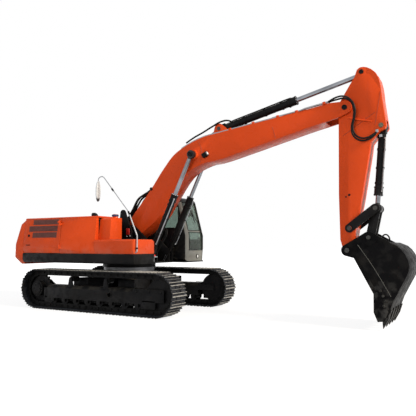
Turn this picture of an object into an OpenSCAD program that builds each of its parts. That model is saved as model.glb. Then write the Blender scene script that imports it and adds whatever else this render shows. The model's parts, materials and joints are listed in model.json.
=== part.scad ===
// Crawler excavator with a one-piece boom, a stick and a bucket.
// X points to the front, Y to the left and Z up. The origin is on the ground under the slew axis.

/* [Tracks] */
// Distance between the sprocket and idler axles
tumbler_dist = 4050; // [3800:10:4300]
// Distance between the centre lines of the tracks
track_gauge = 2590; // [2500:10:2750]
// Width of a track shoe
shoe_w = 600; // [550:10:650]
// Height of a track over its grousers
track_h = 1070; // [1040:5:1100]
// Height of a grouser bar
grouser_h = 30; // [20:1:36]
// Thickness of a shoe plate
shoe_t = 14; // [10:1:20]
// Height of a track link
link_h = 130; // [120:1:140]
// Width of one strand of links
strand_w = 60; // [50:1:70]
// Clear gap between the two strands
strand_gap = 110; // [100:1:120]
// Number of shoes on a track
shoe_count = 50; // [46:1:52]
// Radius of a track roller
roller_r = 85; // [75:1:90]
// Radius of a carrier roller
carrier_r = 70; // [60:1:78]
// Number of track rollers on a side
roller_count = 8; // [7:1:9]
// Height of the underside of a track frame
frame_z = 305; // [295:1:315]
// Height of a track frame's box
frame_h = 345; // [320:1:360]
// Width of a track frame's box
frame_w = 400; // [380:1:420]

/* [Carbody] */
// Height of the underside of the carbody
carbody_z = 500; // [480:5:530]
// Height of the carbody's top plate
carbody_top = 980; // [960:5:1000]
// Radius of the slew ring
ring_r = 700; // [660:5:740]
// Height of the slew ring
ring_h = 140; // [120:1:160]

/* [House] */
// Width of the upper body
house_w = 2990; // [2900:5:3050]
// Swing radius of the tail
tail_r = 3310; // [3250:5:3400]
// Depth of the counterweight behind its flat front face
tail_depth = 670; // [600:5:720]
// Distance from the slew axis back to the front edge of the engine doors
door_x = 1210; // [1150:5:1260]
// Height of the top of the side decks
house_top = 2480; // [2440:5:2520]
// Height of the sill under the side panels
sill_z = 1500; // [1470:5:1530]
// Height of the lower edge of the skirts
skirt_z = 1245; // [1235:1:1260]
// Height of the shoulder where the side panels end
shoulder_z = 2440; // [2400:5:2450]
// Inward lean of the side panels, in degrees
panel_lean = 6; // [3:0.5:8]
// Thickness of a side panel
panel_t = 45; // [35:1:55]
// Width of the engine hood
hood_w = 1400; // [1300:5:1450]
// Height of the engine hood above the side decks
hood_h = 30; // [20:1:60]
// Rear end of the fuel tank from the slew axis
tank_x0 = 40; // [20:1:80]
// Front end of the fuel tank from the slew axis
tank_x1 = 420; // [400:5:460]
// Front end of the tool box from the slew axis
nose_x = 1330; // [1300:5:1360]
// Height of the step on the tool box
step_z = 1860; // [1820:5:1900]
// Setback of the tank side above the step
step_w = 130; // [100:1:160]

/* [Cab] */
// Distance from the centre line to the cab's inner wall
cab_y = 500; // [495:1:515]
// Width of the cab
cab_w = 925; // [900:5:940]
// Height of the cab's floor frame
cab_z = 1280; // [1280:1:1300]
// Height of the cab's roof
cab_top = 3060; // [3000:5:3150]
// Front of the cab at its waist
cab_front = 1610; // [1580:5:1640]
// Rear wall of the cab
cab_rear = -50; // [-70:1:-30]
// Thickness of a cab wall
cab_t = 45; // [38:1:55]

/* [Boom] */
// Height of the boom's foot pin
foot_z = 2080; // [2050:5:2110]
// Distance of the boom's foot pin in front of the slew axis
foot_x = 310; // [290:5:330]
// Length of the boom between its pins
boom_len = 6470; // [6300:10:6600]
// Width of the boom
boom_w = 520; // [500:1:540]
// Thickness of the boom's and stick's plates
boom_plate = 18; // [14:1:24]
// Angle of the boom's pin line above level
boom_pitch = 24.5; // [15:0.5:35]

/* [Stick] */
// Length of the stick between its pins
stick_len = 3160; // [3050:10:3250]
// Width of the stick
stick_w = 400; // [390:1:410]
// Angle of the stick's pin line above level
stick_pitch = -90; // [-100:0.5:-85]

/* [Bucket] */
// Radius from the bucket's pivot to its tooth tips
bucket_r = 1750; // [1700:5:1780]
// Width of the bucket
bucket_w = 1420; // [1300:10:1500]
// Thickness of the bucket's sheets
bucket_t = 30; // [24:1:36]
// Number of teeth
tooth_count = 5; // [4:1:6]
// Angle of the bucket's pivot to tip line above level
bucket_pitch = -63.3; // [-70:0.1:-58]

/* [Cylinders] */
// Radius of a boom cylinder's barrel
boom_cyl_r = 82; // [76:1:86]
// Radius of a boom cylinder's rod
boom_rod_r = 52; // [46:1:56]
// Distance of a boom cylinder from the centre line
boom_cyl_y = 388; // [386:1:392]
// Radius of the stick cylinder's barrel
stick_cyl_r = 92; // [86:1:98]
// Radius of the stick cylinder's rod
stick_rod_r = 58; // [52:1:62]
// Radius of the bucket cylinder's barrel
bucket_cyl_r = 82; // [76:1:88]
// Radius of the bucket cylinder's rod
bucket_rod_r = 52; // [46:1:56]
// Radius of the large pins
pin_r = 50; // [44:1:54]

/* [Hidden] */
$fn = 48;

// Paint and metal colours
orange = "#c9502f";
black = "#232426";
steel = "#55575a";
chrome = "#c9ccd0";
glass = "#9fb8ac";
grey = "#8b8e90";

// One overrun for all cuts, the running gap between moving faces and the gap round a moving panel
over = 10;
gap = 0.4;
part_gap = 6;
run_fit = 0.08;

// Derived track sizes
axle_z = track_h / 2;
plate_r = axle_z - grouser_h;
plate_in_r = plate_r - shoe_t;
rail_r = plate_in_r - link_h;
pitch_r = plate_in_r - link_h / 2;
arc_len = PI * pitch_r;
shoe_pitch = (2 * tumbler_dist + 2 * arc_len) / shoe_count;
chain_w = strand_gap + 2 * strand_w;
track_y = track_gauge / 2;

// Point on the pitch line of a track, s along it from the rear end of the lower run
function loop_at(s) =
    s < tumbler_dist ? [s - tumbler_dist / 2, -pitch_r]
    : s < tumbler_dist + arc_len
        ? let (a = 180 * (s - tumbler_dist) / arc_len)
          [tumbler_dist / 2 + pitch_r * sin(a), -pitch_r * cos(a)]
    : s < 2 * tumbler_dist + arc_len ? [tumbler_dist * 3 / 2 + arc_len - s, pitch_r]
    : let (a = 180 * (s - 2 * tumbler_dist - arc_len) / arc_len)
      [-tumbler_dist / 2 - pitch_r * sin(a), pitch_r * cos(a)];

// A shoe's outline: place along the pitch, and level (0 gap, 1 plate, 2 grouser tip)
shoe_shares = [[0.02, 0], [0.05, 2], [0.11, 2], [0.15, 1], [0.45, 1], [0.48, 2], [0.53, 2],
    [0.56, 1], [0.86, 1], [0.90, 2], [0.96, 2]];
shoe_level = [link_h / 2 + shoe_t / 4, link_h / 2 + shoe_t, link_h / 2 + shoe_t + grouser_h];
function shoe_points(i) =
    let (a = loop_at(i * shoe_pitch), b = loop_at(((i + 1) % shoe_count) * shoe_pitch))
    let (t = (b - a) / norm(b - a), n = [t[1], -t[0]])
    [for (q = shoe_shares) a + t * q[0] * norm(b - a) + n * shoe_level[q[1]]];
// The pins on the curves and at the ends of the straight runs, moved outwards by h
function pin_out(i, h) =
    let (a = loop_at(((i + shoe_count - 1) % shoe_count) * shoe_pitch))
    let (b = loop_at(((i + 1) % shoe_count) * shoe_pitch))
    let (t = (b - a) / norm(b - a))
    loop_at(i * shoe_pitch) + h * [t[1], -t[0]];
function on_curve(i) = abs(loop_at(i * shoe_pitch)[0]) > tumbler_dist / 2 - shoe_pitch;
function chain_line(h) = [for (i = [0 : shoe_count - 1]) if (on_curve(i)) pin_out(i, h)];

// Upper body
deck_t = 35;
deck_z = carbody_top + ring_h + gap;
wall_y = house_w / 2;
hood_y = hood_w / 2;
lean_in = tan(panel_lean);
cover_x = -520;
tail_x = tail_r - tail_depth;
// The side panels lean in below a crease as well as above it
crease_h = 130;
crease_lean = 10;
crease_z = sill_z + crease_h;
function side_y(z) = wall_y
    - (z < crease_z ? (crease_z - z) * tan(crease_lean) : (z - crease_z) * lean_in);

// Boom foot and the pins of the boom's cylinders, from the foot pin
web_t = 34;
web_y = boom_w / 2 + part_gap;
cyl_foot_dx = 760;
cyl_foot_dz = -530;
cyl_foot = [foot_x + cyl_foot_dx, foot_z + cyl_foot_dz];
function turned(p, o, a) = o + [p[0] * cos(a) - p[1] * sin(a), p[0] * sin(a) + p[1] * cos(a)];
boom_foot = [foot_x, foot_z];
boom_tip = turned([boom_len, 0], boom_foot, boom_pitch);
stick_end = turned([stick_len, 0], boom_tip, stick_pitch);

// Places on the boom, as shares of its length: along the pin line and above it
rod_pin_shares = [0.4035, 0.150];
stick_base_shares = [0.540, 0.1975];
// Places on the stick, as shares of its length: along the pin line and in front of it
tail_shares = [-0.2405, 0.1171];
bucket_base_shares = [0.1519, 0.2405];
rocker_shares = [0.8481, 0.0142];
// Places on the bucket, as shares of its tip radius: along the tip line and behind it
link_shares = [-0.0223, 0.3051];
// The free corner of the bucket linkage, as shares of the stick's length
eye_shares = [0.7152, 0.1899];
rod_pin = turned(boom_len * rod_pin_shares, boom_foot, boom_pitch);
stick_base = turned(boom_len * stick_base_shares, boom_foot, boom_pitch);
stick_tail = turned(stick_len * tail_shares, boom_tip, stick_pitch);
bucket_base = turned(stick_len * bucket_base_shares, boom_tip, stick_pitch);
rocker_pin = turned(stick_len * rocker_shares, boom_tip, stick_pitch);
link_eye = turned(stick_len * eye_shares, boom_tip, stick_pitch);
bucket_pin = turned(bucket_r * link_shares, stick_end, bucket_pitch);

// A smooth line through a list of points, n steps between neighbours
function between(a, b, c, d, t) =
    0.5 * (2 * b + (c - a) * t + (2 * a - 5 * b + 4 * c - d) * t * t
        + (3 * b - a - 3 * c + d) * t * t * t);
function smooth(p, n) = let (m = len(p) - 1)
    [for (i = [0 : m - 1]) for (k = [0 : n - 1])
        between(p[max(i - 1, 0)], p[i], p[i + 1], p[min(i + 2, m)], k / n), p[m]];

// A profile in X and Z, drawn from y0 to y1
module slab(y0, y1) {
    translate([0, y1, 0])
        rotate([90, 0, 0])
            linear_extrude(y1 - y0) children();
}
module wide(w) {
    slab(-w / 2, w / 2) children();
}
// A profile in Y and Z, drawn from x0 to x1
module run_x(x0, x1) {
    translate([x0, 0, 0])
        rotate([90, 0, 90])
            linear_extrude(x1 - x0) children();
}
module block(p, q) {
    translate(p) cube(q - p);
}
module ycyl(r, y0, y1) {
    slab(y0, y1) circle(r);
}
module both_sides() {
    children();
    mirror([0, 1, 0]) children();
}
module at_xz(p) {
    translate([p[0], 0, p[1]]) children();
}
module at_boom() {
    at_xz(boom_foot) rotate([0, -boom_pitch, 0]) children();
}
module at_stick() {
    at_xz(boom_tip) rotate([0, -stick_pitch, 0]) children();
}
module at_bucket() {
    at_xz(stick_end) rotate([0, -bucket_pitch, 0]) children();
}
// Local X runs from point a to point b
module at_line(a, b) {
    at_xz(a) rotate([0, -atan2(b[1] - a[1], b[0] - a[0]), 0]) children();
}
module at_each_track() {
    both_sides() translate([0, track_y, axle_z]) children();
}

// A round tube of the given number of sides along points that share one Y
function tube_dir(p, i) = let (d = p[min(i + 1, len(p) - 1)] - p[max(i - 1, 0)]) d / norm(d);
function tube_grow(p, i) = i == 0 || i == len(p) - 1 ? 1
    : let (d = p[i + 1] - p[i]) 1 / (tube_dir(p, i) * d / norm(d));
module tube(p, r, sides) {
    rings = [for (i = [0 : len(p) - 1]) for (k = [0 : sides - 1])
        p[i] + r * (cos(360 * k / sides) * [0, 1, 0]
            + tube_grow(p, i) * sin(360 * k / sides) * cross(tube_dir(p, i), [0, 1, 0]))];
    last = sides * (len(p) - 1);
    polyhedron(rings, concat(
        [[for (k = [0 : sides - 1]) k]],
        [for (i = [0 : len(p) - 2]) for (k = [0 : sides - 1])
            let (a = i * sides + k, b = i * sides + (k + 1) % sides) [a, a + sides, b + sides, b]],
        [[for (k = [sides - 1 : -1 : 0]) last + k]]));
}

// Undercarriage

module track_loop() {
    slab(-shoe_w / 2, shoe_w / 2) difference() {
        polygon([for (i = [0 : shoe_count - 1]) each shoe_points(i)]);
        polygon(chain_line(link_h / 2));
    }
    both_sides() slab(strand_gap / 2, chain_w / 2) difference() {
        polygon(chain_line(link_h / 2 + shoe_t / 8));
        polygon(chain_line(-link_h / 2));
    }
}

module right_track() {
    color(steel) translate([0, -track_y, axle_z]) track_loop();
}

module left_track() {
    color(steel) translate([0, track_y, axle_z]) track_loop();
}

// Rollers, idler and sprocket run on the links' rails with a running gap
rail_gap = pitch_r - pitch_r * cos(180 * shoe_pitch / arc_len / 2) + gap;
idler_flange = 34;
idler_flange_w = strand_gap - 2 * part_gap;
axle_r = 60;
yoke_t = 45;
idler_y = chain_w / 2 + part_gap;
module idlers() {
    color(black) at_each_track() translate([tumbler_dist / 2, 0, 0]) {
        ycyl(rail_r - rail_gap, -chain_w / 2, chain_w / 2);
        ycyl(rail_r - rail_gap + idler_flange, -idler_flange_w / 2, idler_flange_w / 2);
        ycyl(axle_r, -idler_y, idler_y);
    }
}

sprocket_teeth = 21;
tooth_h_share = 0.16;
tooth_top_share = 0.22;
tooth_foot_share = 0.32;
sprocket_w = 76;
hub_r = 205;
module sprockets() {
    step = 360 / sprocket_teeth;
    root = rail_r - rail_gap;
    tip = root * (1 + tooth_h_share);
    color(black) at_each_track() translate([-tumbler_dist / 2, 0, 0])
        wide(sprocket_w) polygon([for (i = [0 : sprocket_teeth - 1]) each [
            root * [cos(i * step - step / 2), sin(i * step - step / 2)],
            root * [cos((i - tooth_foot_share) * step), sin((i - tooth_foot_share) * step)],
            tip * [cos((i - tooth_top_share / 2) * step), sin((i - tooth_top_share / 2) * step)],
            tip * [cos((i + tooth_top_share / 2) * step), sin((i + tooth_top_share / 2) * step)],
            root * [cos((i + tooth_foot_share) * step), sin((i + tooth_foot_share) * step)],
        ]]);
}

drive_out = 70;
drive_out_y = chain_w / 2 + drive_out;
drive_cap_r = 150;
drive_cap_h = 28;
drive_plate_t = 45;
drive_in_y = frame_w / 2 - drive_plate_t;
module final_drives() {
    color(black) at_each_track() translate([-tumbler_dist / 2, 0, 0]) {
        ycyl(hub_r, sprocket_w / 2, drive_out_y);
        ycyl(drive_cap_r, drive_out_y, drive_out_y + drive_cap_h);
        ycyl(hub_r, -drive_in_y, -sprocket_w / 2);
    }
}

roller_span_share = 0.70;
roller_flange = 20;
roller_flange_w = 22;
roller_axle_r = 38;
roller_play = 3;
roller_half = chain_w / 2 + roller_play + roller_flange_w;
roller_y = roller_half + part_gap;
roller_z = rail_r - roller_r - gap;
roller_x = [for (i = [0 : roller_count - 1])
    (i / (roller_count - 1) - 0.5) * tumbler_dist * roller_span_share];
module track_rollers() {
    color(black) at_each_track() for (x = roller_x) translate([x, 0, -roller_z]) {
        ycyl(roller_r, -roller_half, roller_half);
        both_sides() ycyl(roller_r + roller_flange, roller_half - roller_flange_w, roller_half);
        ycyl(roller_axle_r, -roller_y, roller_y);
    }
}

carrier_shares = [-0.20, 0.10];
carrier_z = rail_r - carrier_r - gap;
carrier_arm = 40;
carrier_foot = 95;
carrier_y = chain_w / 2 + part_gap;
module carrier_rollers() {
    color(black) at_each_track() for (c = carrier_shares)
        translate([c * tumbler_dist, 0, carrier_z]) {
            ycyl(carrier_r, -chain_w / 2, chain_w / 2);
            ycyl(roller_axle_r, 0, carrier_y);
        }
}

// A track frame: box with a sloped roof, roller saddles, idler yoke and drive plate
frame_rear_share = 0.40;
frame_front_share = 0.392;
frame_hole_share = 0.14;
frame_hole_r = 60;
saddle_w = 110;
roof_in = 70;
yoke_h = 150;
drive_plate_r = 250;
module track_frame() {
    x0 = -tumbler_dist * frame_rear_share;
    x1 = tumbler_dist * frame_front_share;
    z0 = frame_z - axle_z;
    z1 = z0 + frame_h;
    difference() {
        run_x(x0, x1) polygon([[-frame_w / 2, z0], [frame_w / 2, z0],
            [frame_w / 2, z1 - roof_in], [frame_w / 2 - roof_in, z1],
            [roof_in - frame_w / 2, z1], [-frame_w / 2, z1 - roof_in]]);
        run_x(x0 + boom_plate, x1 - boom_plate) polygon(
            [[boom_plate - frame_w / 2, z0 - over], [frame_w / 2 - boom_plate, z0 - over],
            [frame_w / 2 - boom_plate, z1 - roof_in - boom_plate],
            [boom_plate - frame_w / 2, z1 - roof_in - boom_plate]]);
        translate([frame_hole_share * tumbler_dist, 0, (z0 + z1) / 2])
            ycyl(frame_hole_r, frame_w / 2 - boom_plate - over, frame_w / 2 + over);
    }
    both_sides() for (x = roller_x)
        block([x - saddle_w / 2, roller_y, -roller_z - roller_axle_r],
            [x + saddle_w / 2, frame_w / 2, z0 + over]);
    both_sides() block([x1 - over, idler_y, -yoke_h / 2],
        [tumbler_dist / 2 + axle_r, idler_y + yoke_t, yoke_h / 2]);
    for (c = carrier_shares) slab(carrier_y, carrier_y + carrier_arm) polygon([
        [c * tumbler_dist - carrier_foot, z1 - roof_in], [c * tumbler_dist + carrier_foot, z1 - roof_in],
        [c * tumbler_dist + carrier_arm, carrier_z + roller_axle_r],
        [c * tumbler_dist - carrier_arm, carrier_z + roller_axle_r]]);
    slab(-frame_w / 2, drive_plate_t - frame_w / 2) hull() {
        translate([-tumbler_dist / 2, 0]) circle(drive_plate_r);
        translate([x0, z0]) square([over, frame_h - roof_in]);
    }
}
module track_frames() {
    color(black) at_each_track() track_frame();
}

// Carbody: a centre box under the slew ring and four arms out to the track frames
arm_w = 520;
arm_h = 330;
arm_x = 780;
arm_in_x = 330;
carbody_l = 1500;
carbody_w = 1180;
module carbody() {
    y1 = track_y - frame_w / 2;
    color(black) {
        translate([0, 0, carbody_z])
            linear_extrude(carbody_top - carbody_z) difference() {
                square([carbody_l, carbody_w], center = true);
                circle(ring_r - 2 * web_t);
            }
        translate([0, 0, carbody_z])
            linear_extrude(boom_plate) square([carbody_l, carbody_w], center = true);
        translate([0, 0, carbody_top - deck_t]) cylinder(r = ring_r, h = deck_t);
        for (a = [0, 1]) mirror([a, 0, 0]) both_sides()
            translate([0, 0, carbody_z + over])
                linear_extrude(arm_h) polygon([[arm_in_x, carbody_w / 2 - web_t],
                    [carbody_l / 2, carbody_w / 2 - web_t], [arm_x + arm_w / 2, y1],
                    [arm_x - arm_w / 2, y1]]);
    }
}

// Tow eyes on the carbody's front and rear faces
tow_hole_r = 40;
tow_w = 60;
tow_l = 170;
tow_h = 240;
module tow_eyes() {
    color(black) for (a = [0, 1]) mirror([a, 0, 0])
        translate([carbody_l / 2, 0, (carbody_z + carbody_top) / 2]) wide(tow_w) difference() {
            hull() {
                translate([0, -tow_h / 2]) square([over, tow_h]);
                translate([tow_l - 2 * tow_hole_r, 0]) circle(2 * tow_hole_r);
            }
            translate([tow_l - 2 * tow_hole_r, 0]) circle(tow_hole_r);
        }
}

ring_wall = 110;
module slew_ring() {
    color(steel) translate([0, 0, carbody_top]) difference() {
        cylinder(r = ring_r, h = ring_h);
        translate([0, 0, -over]) cylinder(r = ring_r - ring_wall, h = ring_h + 2 * over);
    }
}

// Upper body

// Turntable: deck, two boom webs with the foot pin and the feet of the boom cylinders
web_rear_x = cover_x + part_gap;
foot_boss_r = 190;
cyl_boss_r = 95;
cyl_eye_w = 100;
ear_t = 32;
ear_y = boom_cyl_y + cyl_eye_w / 2 + part_gap;
nose_t = 300;
// Outer plates of the boom's foot, each with a horn behind the pin
plate_y = 440;
foot_plate_r = 130;
plate_x = [-100, 480];
horn = [-180, 520];
horn_r = 90;
module turntable() {
    base_z = deck_z;
    top_z = skirt_z + deck_t;
    front_x = cyl_foot[0] + cyl_boss_r;
    color(black) difference() {
        union() {
            translate([0, 0, base_z]) cylinder(r = ring_r + web_t, h = skirt_z - base_z);
            block([-tail_x, -wall_y + panel_t, skirt_z], [tank_x1, cab_y, top_z]);
            block([-tail_x, cab_y - over, skirt_z], [cab_rear, wall_y - panel_t, top_z]);
            block([tank_x1 - over, -cab_y, skirt_z], [front_x, cab_y, top_z]);
            block([tank_x1 - over, -wall_y + panel_t, skirt_z],
                [nose_x - panel_t, -cab_y - over, top_z]);
            block([cab_rear, cab_y - over, skirt_z], [cab_front - cab_t, wall_y - panel_t, top_z]);
            both_sides() slab(web_y, web_y + web_t) hull() {
                translate(boom_foot) circle(foot_boss_r);
                translate(cyl_foot) circle(cyl_boss_r);
                translate([web_rear_x, top_z - over]) square(over);
                translate([front_x - over, top_z - over]) square(over);
            }
            both_sides() slab(ear_y, ear_y + ear_t) hull() {
                translate(cyl_foot) circle(cyl_boss_r);
                translate([cyl_foot[0] - cyl_boss_r, top_z - over]) square([2 * cyl_boss_r, over]);
            }
            both_sides() slab(plate_y, plate_y + web_t) hull() {
                translate(boom_foot) circle(foot_plate_r);
                translate(boom_foot + horn) circle(horn_r);
                for (x = plate_x) translate([x, top_z - over]) square(over);
            }
            both_sides() at_xz(cyl_foot) ycyl(pin_r, web_y, ear_y + ear_t);
            at_xz(boom_foot) ycyl(pin_r, -plate_y - web_t, plate_y + web_t);
        }
        translate([0, 0, base_z - over]) cylinder(r = ring_r - ring_wall, h = nose_t);
    }
}

// Skirts along both sides under the panels and in front of the tool box
skirt_round = 40;
module skirt_section() {
    polygon([[wall_y - panel_t, skirt_z], [wall_y - skirt_round, skirt_z],
        [wall_y, skirt_z + 2 * skirt_round], [wall_y, sill_z - skirt_round / 2],
        [wall_y - skirt_round / 2, sill_z], [wall_y - panel_t, sill_z]]);
}
module skirts() {
    color(black) {
        run_x(-tail_x, cab_rear) skirt_section();
        mirror([0, 1, 0]) {
            run_x(-tail_x, nose_x) skirt_section();
            block([nose_x - panel_t, box_in_y, skirt_z], [nose_x, wall_y - skirt_round, sill_z]);
        }
    }
}

// Counterweight: a tail turned about the slew axis, cut to the house's width
tail_z = 1190;
tail_low_in = 190;
tail_low_h = 190;
tail_top_in = 330;
tail_round = 170;
module counterweight() {
    color(orange) intersection() {
        rotate(90) rotate_extrude(angle = 180, $fn = 240) polygon([
            [tail_x / 2, tail_z], [tail_r - tail_low_in, tail_z], [tail_r, tail_z + tail_low_h],
            [tail_r, tail_z + 3 * tail_low_h], [tail_r - tail_top_in / 2, house_top - tail_round],
            [tail_r - tail_top_in, house_top], [tail_x / 2, house_top]]);
        run_x(-tail_r, -tail_x) polygon([[-wall_y + tail_low_in / 2, tail_z],
            [wall_y - tail_low_in / 2, tail_z], [wall_y, tail_z + tail_low_h],
            [wall_y, sill_z], [side_y(house_top - tail_round), house_top - tail_round],
            [side_y(house_top) - tail_round / 2, house_top],
            [tail_round / 2 - side_y(house_top), house_top],
            [-side_y(house_top - tail_round), house_top - tail_round], [-wall_y, sill_z],
            [-wall_y, tail_z + tail_low_h]]);
    }
}

engine_l = 620;
engine_w = 1150;
engine_h = 760;
engine_back = 560;
engine_x = engine_back - tail_x;
engine_z = skirt_z + deck_t;
module engine() {
    color(steel) translate([engine_x, 0, engine_z])
        translate([-engine_l / 2, -engine_w / 2, 0]) cube([engine_l, engine_w, engine_h]);
}

// A leaning side panel between two heights, on the left
module side_section(z0, z1) {
    zs = [z0, crease_z, z1];
    polygon(concat([for (z = zs) [side_y(z), z]],
        [for (i = [2 : -1 : 0]) [side_y(zs[i]) - panel_t, zs[i]]]));
}
// The rounded shoulder and the flat of a side deck, on the left
module deck_section() {
    r = house_top - shoulder_z;
    translate([hood_y, shoulder_z]) square([side_y(shoulder_z) - r - hood_y, r]);
    intersection() {
        translate([side_y(shoulder_z) - r, shoulder_z]) circle(r);
        translate([side_y(shoulder_z) - r, shoulder_z]) square(r);
    }
}

// Hinge pins stand out of the fixed panel beside each engine door
hinge_r = 12;
hinge_arm = 34;
hinge_out = 20;
hinge_y = wall_y + hinge_out;
hinge_h = 60;
hinge_shares = [0.12, 0.80];
hinge_x = -door_x + part_gap;
function hinge_z(s) = sill_z + s * (shoulder_z - sill_z);
module panel_hinge(s) {
    z = hinge_z(s);
    translate([hinge_x, hinge_y, z]) cylinder(r = hinge_r, h = 2 * hinge_h);
    block([hinge_x, side_y(z) - panel_t, z], [hinge_x + hinge_arm, hinge_y, z + hinge_h]);
}
module side_panel(x0, x1) {
    run_x(x0, x1) side_section(sill_z, shoulder_z);
    for (s = hinge_shares) panel_hinge(s);
}

module right_panel() {
    color(orange) mirror([0, 1, 0]) side_panel(-door_x + part_gap, tank_x0);
}

module left_panel() {
    color(orange) side_panel(-door_x + part_gap, cab_rear - part_gap);
}

module right_deck() {
    color(orange) mirror([0, 1, 0]) run_x(-tail_x, tank_x0) deck_section();
}

module left_deck() {
    color(orange) run_x(-tail_x, cab_rear - part_gap) deck_section();
}

// Cover in the middle in front of the hood, with a bulkhead behind the boom and the hood's hinge
hood_x0 = -tail_x + part_gap;
hood_x1 = -door_x;
hood_arm = 45;
hood_pin_r = 12;
hood_pin_up = 28;
hood_hinge = [hood_x1 + hood_arm, house_top + hood_pin_up];
hood_knuckle_w = 80;
hood_knuckle_y = 480;
module center_cover() {
    lug_y = hood_knuckle_y + hood_knuckle_w / 2 + gap;
    color(black) {
        block([-door_x + part_gap, -hood_y, house_top - panel_t], [cover_x, hood_y, house_top]);
        block([cover_x - panel_t, -hood_y, engine_z], [cover_x, hood_y, house_top - panel_t]);
        both_sides() {
            slab(lug_y, lug_y + hood_arm) hull() {
                translate(hood_hinge) circle(2 * hood_pin_r);
                translate([hood_hinge[0] - hood_pin_r, house_top - over]) square([4 * hood_pin_r, over]);
            }
            at_xz(hood_hinge) ycyl(hood_pin_r, lug_y - hood_knuckle_w - gap, lug_y);
        }
    }
}

// Fuel tank: a shell with a set-back side, standing on the deck
tank_wall = 30;
tank_in_y = 860;
tank_drop = 45;
tank_slope = 60;
cap_r = 70;
cap_h = 90;
cap_shares = [0.72, 0.3];
module tank_section() {
    y1 = side_y(step_z) - step_w;
    difference() {
        polygon([[tank_in_y, engine_z], [y1, engine_z], [y1, step_z],
            [side_y(shoulder_z) - step_w, house_top - tank_drop - tank_slope],
            [side_y(shoulder_z) - step_w - tank_slope, house_top - tank_drop],
            [tank_in_y, house_top - tank_drop]]);
        polygon([[tank_in_y + tank_wall, engine_z - over], [y1 - tank_wall, engine_z - over],
            [y1 - tank_wall, step_z],
            [side_y(shoulder_z) - step_w - tank_wall, house_top - tank_drop - tank_slope - tank_wall],
            [tank_in_y + tank_wall, house_top - tank_drop - tank_slope]]);
    }
}
module fuel_tank() {
    y1 = side_y(step_z) - step_w;
    color(orange) mirror([0, 1, 0]) {
        run_x(tank_x0 + gap, tank_x1) tank_section();
        run_x(tank_x0 + gap, tank_x0 + tank_wall) hull() tank_section();
        run_x(tank_x1 - tank_wall, tank_x1) hull() tank_section();
        translate([tank_x0 + cap_shares[0] * (tank_x1 - tank_x0),
            tank_in_y + cap_shares[1] * (y1 - tank_in_y), house_top - tank_drop])
            cylinder(r = cap_r, h = cap_h);
    }
}

// Tool box: a step along the tank and a box with a rounded nose in front of it
box_wall = 25;
box_in_y = 660;
box_round = 110;
nose_round = 70;
box_edge = 40;
module box_section(y0) {
    polygon([[y0, sill_z], [side_y(sill_z), sill_z], [wall_y, crease_z], [wall_y, step_z - box_edge],
        [wall_y - box_edge, step_z], [y0, step_z]]);
}
module tool_box() {
    y0 = side_y(step_z) - step_w + gap;
    color(orange) mirror([0, 1, 0]) difference() {
        union() {
            run_x(tank_x0, tank_x1 + over) box_section(y0);
            intersection() {
                run_x(tank_x1 + gap, nose_x) {
                    box_section(box_in_y + box_round);
                    translate([box_in_y + box_round, step_z - box_round]) circle(box_round);
                    translate([box_in_y, sill_z]) square([box_round, step_z - box_round - sill_z]);
                }
                translate([0, 0, sill_z - over]) linear_extrude(step_z)
                    offset(r = nose_round) offset(delta = -nose_round)
                        translate([-nose_x, 0]) square([2 * nose_x, wall_y]);
            }
        }
        block([tank_x0 + box_wall, y0 + box_wall, sill_z - over],
            [tank_x1, wall_y - panel_t, step_z - box_wall]);
        block([tank_x1 + box_wall, box_in_y + box_round / 2, sill_z - over],
            [nose_x - 2 * box_wall, wall_y - panel_t, step_z - 2 * box_wall]);
    }
}

// Cab

cab_y1 = cab_y + cab_w;
// The cab's side outline as shares of its length and height
cab_shares = [[0, 0], [0.985, 0], [1, 0.19], [1, 0.40], [0.835, 0.955], [0.79, 1],
    [0.12, 1], [0, 0.93]];
cab_l = cab_front - cab_rear;
cab_h = cab_top - cab_z;
module cab_outline() {
    polygon([for (q = cab_shares) [cab_rear + q[0] * cab_l, cab_z + q[1] * cab_h]]);
}
// The cab's body with rounded side edges, taken in by d
cab_round = 100;
round_step = 30;
module cab_solid(d) {
    r = cab_round - d;
    hull() for (a = [0 : round_step : 90])
        slab(cab_y + d + r * (1 - sin(a)), cab_y1 - d - r * (1 - sin(a)))
            offset(delta = -d - r * (1 - cos(a))) cab_outline();
}
module cab_slice(z0, z1) {
    intersection() {
        cab_solid(0);
        block([cab_rear, cab_y, z0], [cab_front, cab_y1, z1]);
    }
}
roof_share = 0.955;
roof_hollow_shares = [0.16, 0.74];
roof_z = cab_z + roof_share * cab_h;
floor_top = cab_z + 2 * cab_t;
// Window and door outlines as shares of the cab's length and height
side_window_shares = [[0.52, 0.52], [0.91, 0.52], [0.80, 0.90], [0.52, 0.90]];
rear_side_shares = [[0.10, 0.42], [0.46, 0.42], [0.46, 0.90], [0.10, 0.90]];
door_shares = [[0.48, 0.07], [0.955, 0.07], [0.962, 0.41], [0.815, 0.935], [0.48, 0.935]];
door_window_shares = [[0.53, 0.34], [0.93, 0.34], [0.925, 0.42], [0.785, 0.885], [0.53, 0.885]];
function cab_points(t) = [for (q = t) [cab_rear + q[0] * cab_l, cab_z + q[1] * cab_h]];
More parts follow.
